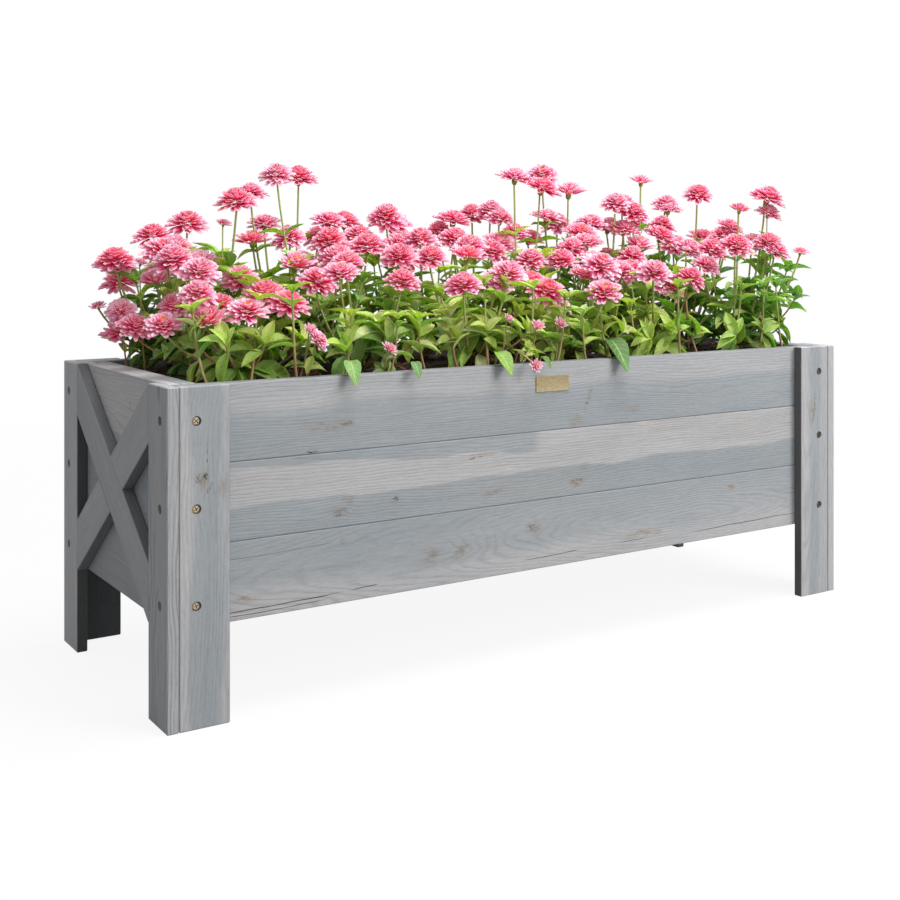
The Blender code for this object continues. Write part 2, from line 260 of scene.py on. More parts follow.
bpy.ops.object.select_all(action="DESELECT")
bpy.ops.mesh.primitive_plane_add(size=FLOOR_SIZE)
floor = bpy.context.object
floor.name = "floor"
floor.data.materials.append(floor_finish())

world = bpy.data.worlds.new("studio")
world.use_nodes = True
sky = world.node_tree.nodes["Background"]
sky.inputs["Color"].default_value = (1, 1, 1, 1)
paths = world.node_tree.nodes.new("ShaderNodeLightPath")
level = world.node_tree.nodes.new("ShaderNodeMix")
level.inputs[2].default_value = SKY
level.inputs[3].default_value = 1.0
world.node_tree.links.new(paths.outputs["Is Camera Ray"], level.inputs[0])
world.node_tree.links.new(level.outputs[0], sky.inputs["Strength"])
bpy.context.scene.world = world

# place, what it points at, its two sides in metres, and its power in watts
soft_lamp("key_lamp", (2.2, -3.6, 2.4), (0, 0, 0.35), (2.0, 2.0), 112)
soft_lamp("top_lamp", (0.5, -0.6, 3.2), (0, 0, 0.4), (2.4, 1.6), 100)

# %% [markdown]
# ## Stained softwood
#
# The boards are pine, sawn flat and stained with a thin grey wash. What shows through is
# the tree's growth rings. A ring is a long tube round the middle of the trunk, so the
# pattern is worked out in the round: the distance from a line that runs nearly along the
# board. A trunk tapers, so a board's face cuts those tubes at a slant, and the lines open
# into the long arches that flat-sawn timber has. Its ends show curved rings, all from one
# formula. Fine fibres, broad pale and bluish bands where the stain has taken differently,
# knots, smudges of resin and a few dark drying cracks are laid over it.

# %% Spots in the wood
PALE_STAIN = shade(186, 185, 186)
BLUE_STAIN = shade(150, 157, 162)
WARM_STAIN = shade(170, 164, 156)
BROWN_STAIN = shade(148, 132, 112)
DARK_LINE = shade(64, 64, 62)
RING_WIDTH = 0.0043
# which of a board's X, Y and Z runs along the grain, across the face and into the board
TURNS = {"X": (0, 2, 1), "Y": (1, 2, 0), "Z_FACE": (2, 0, 1), "Z_SIDE": (2, 1, 0)}
ALONG, ACROSS, INTO = 0, 1, 2


# A spot is its place along and across the board, its half length and half width, its
# turn in degrees, how much the rings swell round it, how brown it is and how speckled.
def knot(along, across, radius):
    """A small branch: the rings swell round it, and it is brown and speckled."""
    return along, across, 1.6 * radius, radius, 0, radius, 0.62, 0.6


def eye(along, across, length, width, rise):
    """A place where the saw met the rings flat on, so that they close into ovals."""
    return along, across, length, width, 0, rise, 0.0, 0.0


def smudge(along, across, length, width, turn=0, specks=0.15):
    """Resin that has come through the stain."""
    return along, across, length, width, turn, 0.0, 0.46, specks


def streak(along, across, length, width, turn=0):
    """A thin row of dark specks."""
    return along, across, length, width, turn, 0.0, 0.3, 1.3


def turned(along, across, angle):
    cos, sin = math.cos(angle), math.sin(angle)
    return along * cos + across * sin, across * cos - along * sin


def spot_distance(along, across, spot):
    """How far each point is from a spot's middle: 1 is the spot's edge."""
    long, wide, turn = spot[2:5]
    du, dv = along - spot[0], across - spot[1]
    if turn:
        du, dv = turned(du, dv, math.radians(turn))
    du, dv = du / long, dv / wide
    return (du * du + dv * dv).root()


def crack(along, across, line, wobble):
    """A thin dark line from one end to the other, fading out at both."""
    start, end, height, slope, width = line
    middle = (start + end) / 2
    off = (across - height - slope * (along - middle) + wobble * 0.012).size()
    fade = 1 - ((along - middle) / ((end - start) / 2)).size().step(0.6, 1.0)
    return (1 - off.step(width * 0.3, width)) * fade


def patch(along, across, area, wobble):
    """1 above a slanting line, between two ends, with a torn edge."""
    start, end, height, slope = area
    above = (across - height - slope * (along - start) + wobble * 0.03).step(0.0, 0.003)
    return above * along.step(start - 0.02, start) * (1 - along.step(end - 0.03, end))


# %% The wood finish
def dress(node, look):
    """Gives one of the frame's own pieces its finish."""
    for slot in nodes[node].material_slots:
        slot.material = look


def wood_finish(name, grain, seed, middle, tone=0.5, bands=(), patches=(), spots=(), cracks=(),
                shades=(), heart=None, rings=1.0, tilt=0.0):
    """Grey-stained pine. grain says which way the fibres run, middle is the board's own
    middle, and tone is how blue the stain is where no band is given. A band is (height
    across the board, tone); a patch is (area, tone); a crack is (start, end, height,
    slope, width); a shade is (gain, gates), and each gate (axis, where it starts, where
    it is full). heart is where the trunk's middle lay: beside the board's middle, behind
    it, and how fast it came nearer along the board. tilt turns the grain in the face."""
    chance = random.Random(seed)
    finish = Finish(name, IOR=1.45, Specular_IOR_Level=0.35)
    axes = finish.axes(finish.place())
    along, across, into = [axes[number] for number in TURNS[grain]]
    centre = [middle[number] for number in TURNS[grain]]
    if tilt:
        along, across = turned(along, across, tilt)
        centre[:2] = turned(centre[0], centre[1], tilt)
    shift = chance.uniform(-40, 40)

    def fleck(long, wide, detail=2.0, roughness=0.5):
        """Noise drawn out along the grain, with so many flecks to a metre each way."""
        place = finish.vector(along * long + shift, across * wide, into * wide)
        return finish.noise(place, 1, detail, roughness)

    drift, wander, waver = fleck(1.6, 5), fleck(5, 22), fleck(16, 70)
    fibres, streaks = fleck(24, 640, 3, 0.65), fleck(4, 130, 3, 0.6)
    broad, mottle, shows = fleck(2.2, 14, 3, 0.55), fleck(75, 300, 3, 0.65), fleck(5, 34)

    if heart is None:
        heart = (chance.uniform(-0.05, 0.05), chance.uniform(0.025, 0.06),
                 chance.uniform(-0.09, 0.09))
    side = across - (centre[1] + heart[0]) + (drift - 0.5) * 0.05
    deep = into - (centre[2] - heart[1]) + (along - centre[0]) * heart[2]
    ring = (side * side + deep * deep).root() + (wander - 0.5) * 0.022 + (waver - 0.5) * 0.003
    brown = dark = 0.0
    for spot in spots:
        away = spot_distance(along, across, spot)
        swell, warmth, speckle = spot[5:]
        if swell:
            ring = ring + swell / (1 + away * away)
        if warmth:
            brown = brown + warmth * (1 - away.step(0.1, 1.5))
            dark = dark + speckle * (1 - away.step(0.4, 1.15))
    late_wood = ((ring * (math.tau / RING_WIDTH)).sine() * 0.5 + 0.5) ** 3

    if bands:
        low, high = bands[0][0], bands[-1][0]
        wave = (wander - 0.5) * 0.04 + (waver - 0.5) * 0.004
        stops = [((height - low) / (high - low), (blue, blue, blue)) for height, blue in bands]
        tone = finish.ramp((across + wave - low) / (high - low), stops)
    for area, blue in patches:
        inside = patch(along, across, area, wander - 0.5)
        tone = tone * (1 - inside) + inside * blue
    blueness = ((broad - 0.5) * 0.9 + tone).clamped()
    colour = finish.mix(blueness, PALE_STAIN, BLUE_STAIN)
    colour = finish.mix(drift.step(0.52, 0.72) * 0.24, colour, WARM_STAIN)
    if spots:
        specks = fleck(170, 300, 3, 0.6)
        brown = brown * (0.4 + mottle.step(0.42, 0.62))
        colour = finish.mix(brown.clamped(), colour, BROWN_STAIN)
        colour = finish.mix((dark * specks.step(0.5, 0.66) * 0.85).clamped(), colour, DARK_LINE)
    for line in cracks:
        drawn = crack(along, across, line, wander - 0.5) * (0.35 + fibres)
        colour = finish.mix(drawn.clamped(), colour, DARK_LINE)

    lines = late_wood * (0.3 + shows.step(0.36, 0.62)) * (1 - blueness * 0.55)
    light = 1.05 - lines * (0.12 * rings) - streaks.step(0.5, 0.74) * 0.07
    light = light + fleck(7, 210).step(0.6, 0.74) * 0.07
    light = light - (fibres - 0.5) * 0.36 - (mottle - 0.5) * 0.3
    light = light - (fleck(260, 640, 2, 0.6) - 0.5) * 0.2
    # each shade is painted light or shade: a gain on how light the board is, where all its gates
    # let it through
    for gain, *gates in shades:
        mask = 1.0
        for axis, start, full in gates:
            mask = (along, across, into)[axis].step(start, full) * mask
        light = light * (1 + mask * gain)
    height = fibres * 0.5 - late_wood * 0.5 + streaks * 0.3
    roughness = 0.66 + fibres * 0.22 - late_wood * 0.08
    return finish.done(finish.lit(colour, light), roughness, height, 0.35, 0.0006)


# %% [markdown]
# ## Which board looks how
#
# The boards that face the reader are chosen one by one: the top plank is pale along the
# rim and bluish below, the middle one is the palest, with a bluish foot and a bluish tongue
# along its upper left, and the bottom one is bluish with arches in its grain and thin
# cracks near its lower edge. Every other board gets its own stretch of the same pattern
# from its number. Painted shade darkens the sides that look into a corner or under the
# bed, the rims of the long front and its near leg, and the left end's lower planks. Painted
# light lightens the rim of the left end, the upper part of its top plank and the outer face
# of the back left leg's side board.

# %% Stain the boards
LOOKS = {
    "front_plank_top": {
        "bands": ((0.329, 0.85), (0.386, 0.8), (0.4, 0.3), (0.432, 0.38)),
        "spots": (
            smudge(-0.385, 0.365, 0.04, 0.007, -4), smudge(-0.352, 0.367, 0.012, 0.004, 0, 0.6),
            smudge(0.07, 0.372, 0.024, 0.0045, 70, 0.6), smudge(0.045, 0.34, 0.014, 0.012),
            streak(-0.405, 0.332, 0.012, 0.002), smudge(0.16, 0.35, 0.016, 0.006),
            eye(-0.3, 0.372, 0.16, 0.016, 0.016), eye(0.33, 0.366, 0.15, 0.014, 0.014),
        ),
        "heart": (-0.075, 0.022, 0.03),
    },
    "front_plank_middle": {
        "bands": ((0.226, 0.85), (0.268, 0.8), (0.271, 0.0), (0.3, 0.08), (0.329, 0.02)),
        "patches": (((-0.56, -0.012, 0.324, -0.05), 0.8),),
        "spots": (
            knot(-0.361, 0.246, 0.008), smudge(-0.35, 0.262, 0.01, 0.007),
            streak(-0.276, 0.254, 0.008, 0.005), smudge(-0.109, 0.246, 0.02, 0.005, 8),
            smudge(-0.125, 0.303, 0.022, 0.003), streak(-0.14, 0.3, 0.02, 0.0012, 6),
            knot(0.047, 0.247, 0.009), smudge(0.062, 0.268, 0.01, 0.006),
        ),
        "heart": (0.06, 0.02, -0.03),
        "rings": 1.35,
    },
    "front_plank_bottom": {
        "bands": ((0.123, 0.1), (0.15, 0.2), (0.168, 0.62), (0.226, 0.78)),
        "spots": (
            streak(-0.357, 0.206, 0.006, 0.004), smudge(-0.215, 0.166, 0.018, 0.012, 30),
            smudge(-0.166, 0.168, 0.016, 0.012, 30), knot(-0.035, 0.186, 0.009),
            knot(0.375, 0.203, 0.006), eye(-0.19, 0.172, 0.1, 0.02, 0.019),
            smudge(-0.5, 0.15, 0.02, 0.006), smudge(0.18, 0.15, 0.05, 0.007),
        ),
        "cracks": (
            (-0.56, -0.35, 0.137, 0.022, 0.001), (-0.56, -0.37, 0.132, 0.028, 0.0006),
            (-0.345, -0.3, 0.139, 0.01, 0.001), (-0.06, 0.06, 0.141, 0.004, 0.0008),
            (0.13, 0.19, 0.143, 0.01, 0.0008), (0.27, 0.56, 0.142, 0.006, 0.0009),
            (-0.56, -0.362, 0.204, 0.022, 0.0004),
        ),
        "heart": (-0.006, 0.04, -0.11),
        "rings": 1.15,
    },
    "leg_front_left_face_board": {
        "bands": (
            (-0.5965, 0.05), (-0.585, 0.1), (-0.577, 0.7), (-0.545, 0.85),
            (-0.536, 0.45), (-0.5285, 0.35),
        ),
        "spots": (
            streak(0.316, -0.5705, 0.008, 0.005), streak(0.317, -0.5615, 0.008, 0.004),
            streak(0.301, -0.558, 0.012, 0.003, 40), smudge(0.3, -0.54, 0.012, 0.006),
            streak(0.338, -0.5595, 0.022, 0.001), smudge(0.313, -0.566, 0.014, 0.009),
        ),
        "heart": (0.03, 0.03, 0.03),
    },
    "leg_front_right_face_board": {
        "bands": (
            (0.5285, 0.1), (0.544, 0.2), (0.552, 0.75), (0.572, 0.8), (0.58, 0.35),
            (0.5965, 0.25),
        ),
        "spots": (streak(0.345, 0.562, 0.03, 0.003), smudge(0.32, 0.556, 0.02, 0.008)),
    },
    "leg_front_left_side_board": {"tone": 0.45, "rings": 2.8, "heart": (0.004, 0.06, 0.01)},
    "left_end_plank_top": {
        "tone": 0.15,
        "spots": (
            streak(-0.037, 0.396, 0.019, 0.0014, 84), streak(-0.03, 0.385, 0.008, 0.001, 20),
            smudge(-0.085, 0.395, 0.012, 0.01),
        ),
        # painted light: lighter above the plank's lowest strip, and lighter still on part of its
        # rim
        "shades": (
            (0.2, (ACROSS, 0.325, 0.345)),
            (0.18, (ACROSS, 0.4306, 0.4312), (ALONG, -0.18, -0.1)),
        ),
    },
    # painted shade: the left end's lower planks are darker
    "left_end_plank_middle": {"tone": 0.7, "shades": ((-0.08,),)},
    "left_end_plank_bottom": {"tone": 0.6, "shades": ((-0.12,),)},
    "left_top_rail": {
        # painted light: the rail's top is lighter
        "shades": ((0.58, (ACROSS, 0.4306, 0.4312), (ALONG, -0.18, -0.1)),),
    },
    "leg_front_right_side_board": {"tone": 0.0},
    # painted light: the outer face of this board is lighter
    "leg_back_left_side_board": {"tone": 0.4, "shades": ((0.18, (INTO, -0.6115, -0.612)),)},
}
# painted shade: how much darker upward edges are, a leg board's inner edge and back, and a brace's
# edges
UPWARD_GAINS = {"front_plank_top": -0.36, "leg_front_left_face_board": -0.15}
EDGE_GAIN, INNER_GAIN, BRACE_GAIN = -0.75, -0.6, -0.5
BRACE_RISE, BRACE_RUN = 0.232, 0.312
BRACE_TILT = math.atan2(BRACE_RISE, BRACE_RUN)
# where the braces cross, and half a brace's upright width, both seen across its grain
BRACE_MIDDLE, BRACE_HALF_WIDTH = 0.2775 * math.cos(BRACE_TILT), 0.0385 * math.cos(BRACE_TILT)
FEATHER = 0.0003  # over what distance a shade fades in
SIDES = (-1, 1)


def grain_of(node):
    if "brace" in node:
        return "Y", BRACE_TILT if "rising_back" in node else -BRACE_TILT
    if node.endswith("face_board"):
        return "Z_FACE", 0.0
    if node.endswith("side_board") or node.startswith("corner_post"):
        return "Z_SIDE", 0.0
    if node.startswith(("front_", "back_")):
        return "X", 0.0
    return "Y", 0.0


def painted_shade_sides(node, grain):
    """Painted shade on the sides of a leg board that look inwards, and on both edges of a brace.
    """
    if "brace" in node:
        return [
            (BRACE_GAIN, (ACROSS, BRACE_MIDDLE + way * (BRACE_HALF_WIDTH - 3 * FEATHER),
                          BRACE_MIDDLE + way * (BRACE_HALF_WIDTH - FEATHER)))
            for way in SIDES
        ]
    if not node.startswith("leg_"):
        return []
    shades = []
    low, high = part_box(node)
    for axis, gain in ((ACROSS, EDGE_GAIN), (INTO, INNER_GAIN)):
        number = TURNS[grain][axis]
        inner = min(low[number], high[number], key=abs)
        way = math.copysign(FEATHER, inner)
        shades.append((gain, (axis, inner + 3 * way, inner + way)))
    return shades


FIRST_SEED = 40
wooden = sorted(n for n in nodes if not n.startswith(("zinnia", "soil", "bed", "bare")))
for number, node in enumerate(wooden):
    grain, tilt = grain_of(node)
    low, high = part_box(node)
    looks = {"tone": 0.35 + 0.5 * ((number * 7) % 10) / 10, **LOOKS.get(node, {})}
    # painted shade on a leg board's inward sides and on a brace's edges
    looks["shades"] = [*looks.get("shades", ()), *painted_shade_sides(node, grain)]
    # painted shade: these boards' tops are darker
    if node in UPWARD_GAINS:
        upward = ALONG if grain == "Z_FACE" else ACROSS
        gate = (upward, high.z - 0.0014, high.z - 0.0008)
        looks["shades"].append((UPWARD_GAINS[node], gate))
    middle = (low + high) / 2
    seed = FIRST_SEED + number
    stained = wood_finish("stained_" + node, grain, seed, middle, tilt=tilt, **looks)
    dress(node, stained)
print("stained", len(wooden), "boards")

# %% [markdown]
# ## Tools for modelling by hand
#
# The new pieces start as one of Blender's primitives and are shaped in edit mode, as one
# would by hand. The difference is that a script has no mouse, so points and faces are
# picked by a question about where they are. An operator works on whatever is selected,
# so everything is deselected before each new start.

# %% Picking, modifying, copying and joining
UP = Vector((0, 0, 1))


def start_piece(name, primitive, **settings):
    """Adds a primitive with nothing else selected, and leaves it in edit mode."""
    bpy.ops.object.select_all(action="DESELECT")
    getattr(bpy.ops.mesh, f"primitive_{primitive}_add")(**settings)
    piece = bpy.context.object
    piece.name = name
    bpy.ops.object.transform_apply(location=True, rotation=True, scale=True)
    bpy.ops.object.mode_set(mode="EDIT")
    return piece


def pick(piece, wanted, kind="verts"):
    """Selects the points or faces whose place, and for faces whose normal, passes."""
    point_mode = kind == "verts"
    bpy.context.tool_settings.mesh_select_mode = (point_mode, False, not point_mode)
    bpy.ops.mesh.select_all(action="DESELECT")
    mesh = bmesh.from_edit_mesh(piece.data)
    for part in getattr(mesh, kind):
        passed = wanted(part.co) if point_mode else wanted(part.calc_center_median(), part.normal)
        part.select_set(passed)
    mesh.select_flush(point_mode)
    bmesh.update_edit_mesh(piece.data)


def pick_side(piece, direction):
    """Selects the faces that look one way."""
    pick(piece, lambda centre, normal: normal.dot(direction) > 0.9, "faces")


def step_in(thickness, shift, **settings):
    """Insets the picked faces, and moves what is inside."""
    bpy.ops.mesh.inset(thickness=thickness, **settings)
    bpy.ops.transform.translate(value=shift)


def leave_edit():
    bpy.ops.object.mode_set(mode="OBJECT")


def select_only(*pieces):
    """Selects these and nothing else, with the first one active."""
    bpy.ops.object.select_all(action="DESELECT")
    for piece in pieces:
        piece.select_set(True)
    bpy.context.view_layer.objects.active = pieces[0]


def modify(piece, kind, **settings):
    """Adds a modifier, sets it and applies it."""
    select_only(piece)
    step = piece.modifiers.new(kind.lower(), kind)
    for name, value in settings.items():
        setattr(step, name, value)
    bpy.ops.object.modifier_apply(modifier=step.name)


def smooth(piece, degrees):
    select_only(piece)
    bpy.ops.object.shade_smooth_by_angle(angle=math.radians(degrees))


def joined(name, parts):
    select_only(*parts)
    bpy.ops.object.join()
    parts[0].name = name
    return parts[0]


def set_tone(piece, name, value):
    """One number for the whole piece, which its material can read."""
    layer = piece.data.attributes.get(name)
    layer = layer or piece.data.attributes.new(name, "FLOAT", "POINT")
    layer.data.foreach_set("value", [value] * len(layer.data))


def copy_of(master, placing, **tones):
    """A copy with its own mesh, moved by a matrix, with its own tones."""
    twin = linked(master.name, master.data.copy())
    twin.data.transform(placing)
    for name, value in tones.items():
        set_tone(twin, name, value)
    return twin


def hand_over(piece, slot, *replaced):
    """Rides the finished piece on the bed, and hides the frame's parts that it stands for."""
    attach(piece, "root")
    if replaced:
        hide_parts(*replaced)


def compass(turn, rise=0.0):
    """A level direction, or with a rise one that climbs a little."""
    return Vector((math.cos(turn), math.sin(turn), rise))


def facing(place, along, up, size):
    """Puts +Y along one direction and +Z near another, at a place and a size."""
    along = along.normalized()
    side = along.cross(up).normalized()
    turn = Matrix((side, along, side.cross(along))).transposed().to_4x4()
    return Matrix.Translation(place) @ turn @ Matrix.Diagonal((*size, 1))


def triangles(pieces):
    return sum(len(face.vertices) - 2 for piece in pieces for face in piece.data.polygons)


# %% [markdown]
# ## Screws
#
# Each leg board is held by three pan-head screws, let into round seats so that their
# heads lie just under the wood. One head is modelled: a short cylinder with a rounded
# rim, and a cross recess cut into it by two crossed bars. The others are copies. They
# are yellow-passivated steel, dull brass in colour and a little blotched. The ones that
# face front and back at the left end keep that colour, and all the others get a darker
# copy of it, which is painted shade.

# %% Screws
LENGTH = 2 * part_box("leg_front_right_side_board")[1][0]
DEPTH = -2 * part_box("leg_front_right_face_board")[0][1]
SEAT_HEIGHTS = (0.155, 0.277, 0.388)
SEAT_FROM_END = 0.039  # on the boards that face front and back, from the bed's end
SEAT_FROM_FRONT = 0.026  # on the boards that face the ends, from the front or the back
SEAT_DEPTH = 0.005
HEAD_RADIUS = 0.0057
HEAD_HEIGHT = 0.0017
EVEN = (900, 900, 900)  # brushed alike along X, Y and Z


def brass_finish(name, low, high, roughness, metallic, grain, rubbed=None):
    finish = Finish(name, Metallic=metallic, Specular_IOR_Level=0.5)
    point = finish.place()
    x, y, z = finish.axes(point)
    blotches = finish.noise(point, 420, 4, 0.65)
    brushed = finish.noise(finish.vector(x * grain[0], y * grain[1], z * grain[2]))
    colour = finish.mix(blotches.step(0.36, 0.66), low, high)
    if rubbed:
        colour = finish.mix(finish.own("worn").step(0.1, 0.75), colour, rubbed)
    colour = finish.lit(colour, 0.94 + brushed * 0.12)
    return finish.done(colour, roughness + (blotches - 0.5) * 0.25, brushed, 0.25, 0.0002)


def cross_bar(length, width):
    """A bar that narrows towards its foot, to cut one arm of the recess."""
    place = (0, 0, HEAD_HEIGHT + 0.0003)
    bar = start_piece("cross_bar", "cube", size=1, scale=(length, width, 0.003), location=place)
    pick_side(bar, -UP)
    bpy.ops.transform.resize(value=(0.62, 0.62, 1))
    leave_edit()
    return bar


def screw_head():
    """A pan head, its back at z = 0 and its face towards +Z."""
    head = start_piece(
        "screw_head", "cylinder", vertices=28,
        radius=HEAD_RADIUS, depth=HEAD_HEIGHT, location=(0, 0, HEAD_HEIGHT / 2),
    )
    pick_side(head, UP)
    step_in(0.0009, (0, 0, 0.0006))
    step_in(0.0012, (0, 0, 0.0003))
    leave_edit()
    for bar in [cross_bar(0.0074, 0.0017), cross_bar(0.0017, 0.0074)]:
        modify(head, "BOOLEAN", operation="DIFFERENCE", object=bar, solver="EXACT")
        bpy.data.objects.remove(bar)
    smooth(head, 35)
    worn = head.data.attributes.new("worn", "FLOAT", "POINT")
    for number, vertex in enumerate(head.data.vertices):
        off = math.hypot(vertex.co.x, vertex.co.y) / HEAD_RADIUS
        worn.data[number].value = max(0, 1 - off) if vertex.co.z > HEAD_HEIGHT else 0
    return head


def leg_screws(end, side, face_board):
    """The three screws of one leg board, each turned as the screwdriver left it."""
    board = "leg_" + ("front_" if side < 0 else "back_") + ("left" if end < 0 else "right")
    board += "_face_board" if face_board else "_side_board"
    chance = random.Random(board)
    outward = Vector((0, side, 0) if face_board else (end, 0, 0))
    inset = (SEAT_FROM_END, 0) if face_board else (0, SEAT_FROM_FRONT)
    heads = []
    for height in SEAT_HEIGHTS:
        place = Vector((end * (LENGTH / 2 - inset[0]), side * (DEPTH / 2 - inset[1]), height))
        turn = chance.uniform(0, math.pi / 2)
        along = UP.cross(outward) * math.cos(turn) + UP * math.sin(turn)
        seat_floor = place - outward * (SEAT_DEPTH - 0.0003)
        heads.append(copy_of(screw_master, facing(seat_floor, along, outward, (1, 1, 1))))
    screws = joined("screws_" + board, heads)
    # the left end's front and back screws get the steel's own colour, the others a copy with
    # painted shade
    screws.data.materials[0] = bright_steel if face_board and end < 0 else steel_in_painted_shade
    hand_over(screws, "brass")
    return screws


bright_steel = brass_finish("passivated_steel", shade(122, 98, 72), shade(184, 160, 124),
                            0.45, 0.6, EVEN, shade(236, 226, 200))
# painted shade: the same steel made darker, for screws that sit in shade
steel_in_painted_shade = brass_finish("steel_in_painted_shade", shade(58, 50, 42), shade(104, 92, 76),
                             0.5, 0.6, EVEN, shade(150, 138, 116))
screw_master = screw_head()
screw_master.data.materials.append(bright_steel)
print("screw head:", triangles([screw_master]), "triangles")
all_screws = [
    leg_screws(end, side, face_board)
    for end in SIDES for side in SIDES for face_board in (True, False)
]
bpy.data.objects.remove(screw_master)
print("screws in", len(all_screws), "boards")

# %% [markdown]
# ## The bare plate
#
# A small brass-coloured plate is pinned to the middle of the top plank. It carries no
# name here: its field is plain, brushed along its length, inside a slightly raised edge.
# The block is inset and the field pushed back, and two round-headed pins hold it.

# %% Plate
PIN_RADIUS = 0.0011
PIN_FROM_END = 0.0032


def bare_plate():
    low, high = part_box("bare_plate")
    middle, size = (low + high) / 2, high - low
    plate = start_piece("brass_plate", "cube", size=1, location=middle, scale=size)
    pick_side(plate, Vector((0, -1, 0)))
    step_in(0.001, (0, 0.0003, 0))
    leave_edit()
    modify(plate, "BEVEL", width=0.00018, segments=2, limit_method="ANGLE")
    smooth(plate, 35)
    pins = []
    for end in SIDES:
        pins.append(start_piece(
            "pin", "uv_sphere", segments=16, ring_count=8,
            radius=PIN_RADIUS, scale=(1, 0.55, 1),
            location=(middle.x + end * (size.x / 2 - PIN_FROM_END), low.y + 0.0003, middle.z),
        ))
        leave_edit()
        smooth(pins[-1], 40)
    plate = joined("brass_plate", [plate, *pins])
    plate.data.materials.append(brass_finish(
        "brushed_brass", shade(158, 142, 108), shade(186, 170, 130), 0.46, 0.45, (60, 900, 1400)
    ))
    hand_over(plate, "brass", "bare_plate")
    return plate


print("plate:", triangles([bare_plate()]), "triangles")

# %% [markdown]
# ## Soil and bark
#
# The bed is filled with dark potting soil to just under the rim. The block from the frame
# is given an uneven top by two Displace modifiers, one for the lumps and one for the
# crumbs, and then flakes of bark and a few pale grains of perlite are strewn over it. A
# flake is a small sphere squashed flat and broken, copied many times with few faces.

# %% Soil
ON_TOP = 1e-5  # how near to the top a point still counts as on it
LEVEL_EDGE = 0.004  # the soil stays level this close to the liner


def soil_finish():
    finish = Finish("potting_soil", Specular_IOR_Level=0.3)
    point = finish.place()
    lumps = finish.noise(point, 70, 4, 0.65)
    crumbs = finish.noise(point, 420, 4, 0.7)
    colour = finish.mix(lumps.step(0.35, 0.68), shade(34, 26, 22), shade(76, 58, 48))
    colour = finish.mix(crumbs.step(0.6, 0.72) * 0.7, colour, shade(128, 92, 74))
    return finish.done(colour, 0.8 + crumbs * 0.18, crumbs + lumps * 0.5, 0.9, 0.0015)


def soil_bed(low, high):
    middle, size = (low + high) / 2, high - low
    bed = start_piece("soil_bed", "cube", size=1, location=middle, scale=size)
    for cuts in (3, 1, 1, 1, 1, 1):
        pick(bed, lambda centre, normal: centre.z > high.z - ON_TOP, "faces")
        bpy.ops.mesh.subdivide(number_cuts=cuts)
    leave_edit()
    inner = [
        v.index for v in bed.data.vertices
        if v.co.z > high.z - ON_TOP
        and abs(v.co.x) < high.x - LEVEL_EDGE and abs(v.co.y) < high.y - LEVEL_EDGE
    ]
    bed.vertex_groups.new(name="top").add(inner, 1.0, "ADD")
    for name, width, strength in (("lumps", 0.05, 0.006), ("crumbs", 0.01, 0.003)):
        texture = bpy.data.textures.new(name, "CLOUDS")
        texture.noise_scale = width
        modify(
            bed, "DISPLACE", texture=texture, vertex_group="top", strength=strength,
            mid_level=0.62, direction="Z", texture_coords="LOCAL",
        )
    smooth(bed, 60)
    bed.data.materials.append(soil_finish())
    hand_over(bed, "potting_soil", "soil")
    return bed


soil_low, soil_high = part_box("soil")
print("soil:", triangles([soil_bed(soil_low, soil_high)]), "triangles")

# %% Bark
FLAKES = 620
BARK_SEED = 11
BARK_MARGIN = 0.008  # how far from the liner the flakes stay
GRAIN_SIZE = 0.006
PERLITE_SHARE = 0.05
BROWNS = (
    (0.0, shade(42, 30, 26)), (0.45, shade(92, 62, 50)), (0.8, shade(148, 100, 82)),
    (0.93, shade(172, 132, 112)), (1.0, shade(222, 216, 206)),
)


def flake_finish():
    finish = Finish("bark_flake", Specular_IOR_Level=0.35)
    point = finish.place()
    fibres = finish.noise(point, 600, 3, 0.7)
    colour = finish.ramp(finish.own("tone") + (fibres - 0.5) * 0.2, BROWNS)
    return finish.done(colour, 0.7 + fibres * 0.2, fibres, 0.6, 0.0004)


def bark_flakes(reach_x, reach_y, top):
    flake = start_piece("flake", "ico_sphere", subdivisions=1, radius=0.5)
    pick(flake, lambda co: co.x > 0.2)
    bpy.ops.transform.resize(value=(0.7, 0.6, 1))
    pick(flake, lambda co: co.y < -0.2)
    bpy.ops.transform.translate(value=(0.12, -0.1, 0.08))
    leave_edit()
    chance = random.Random(BARK_SEED)
    strewn = []
    for number in range(FLAKES):
        place = Vector((chance.uniform(-reach_x, reach_x), chance.uniform(-reach_y, reach_y),
                        top + chance.uniform(-0.0012, 0.0022)))
        turn = chance.uniform(0, math.tau)
        along = compass(turn, chance.uniform(-0.3, 0.3))
        up = Vector((chance.uniform(-0.4, 0.4), chance.uniform(-0.4, 0.4), 1))
        grain = chance.uniform(0.5, 1.9) * GRAIN_SIZE
        if chance.random() < PERLITE_SHARE:
            size, tone = (grain * 0.6, grain * 0.6, grain * 0.5), 1.0
        else:
            wide, long = chance.uniform(0.5, 0.9), chance.uniform(1.0, 2.0)
            size, tone = (grain * wide, grain * long, grain * 0.35), chance.uniform(0.0, 0.86)
        strewn.append(copy_of(flake, facing(place, along, up, size), tone=tone))
    bpy.data.objects.remove(flake)
    flakes = joined("bark_flakes", strewn)
    flakes.data.materials.append(flake_finish())
    hand_over(flakes, "potting_soil")
    return flakes


flakes = bark_flakes(soil_high.x - BARK_MARGIN, soil_high.y - BARK_MARGIN, soil_high.z)
print("bark:", triangles([flakes]), "triangles")

# %% [markdown]
# ## The liner
#
# A dark felt sheet lines the box, and only its upper edge shows between soil and wood.
# The frame's sheet has the right shape, so it only needs its felt: short tangled fibres,
# which are noise stretched two ways and crossed.

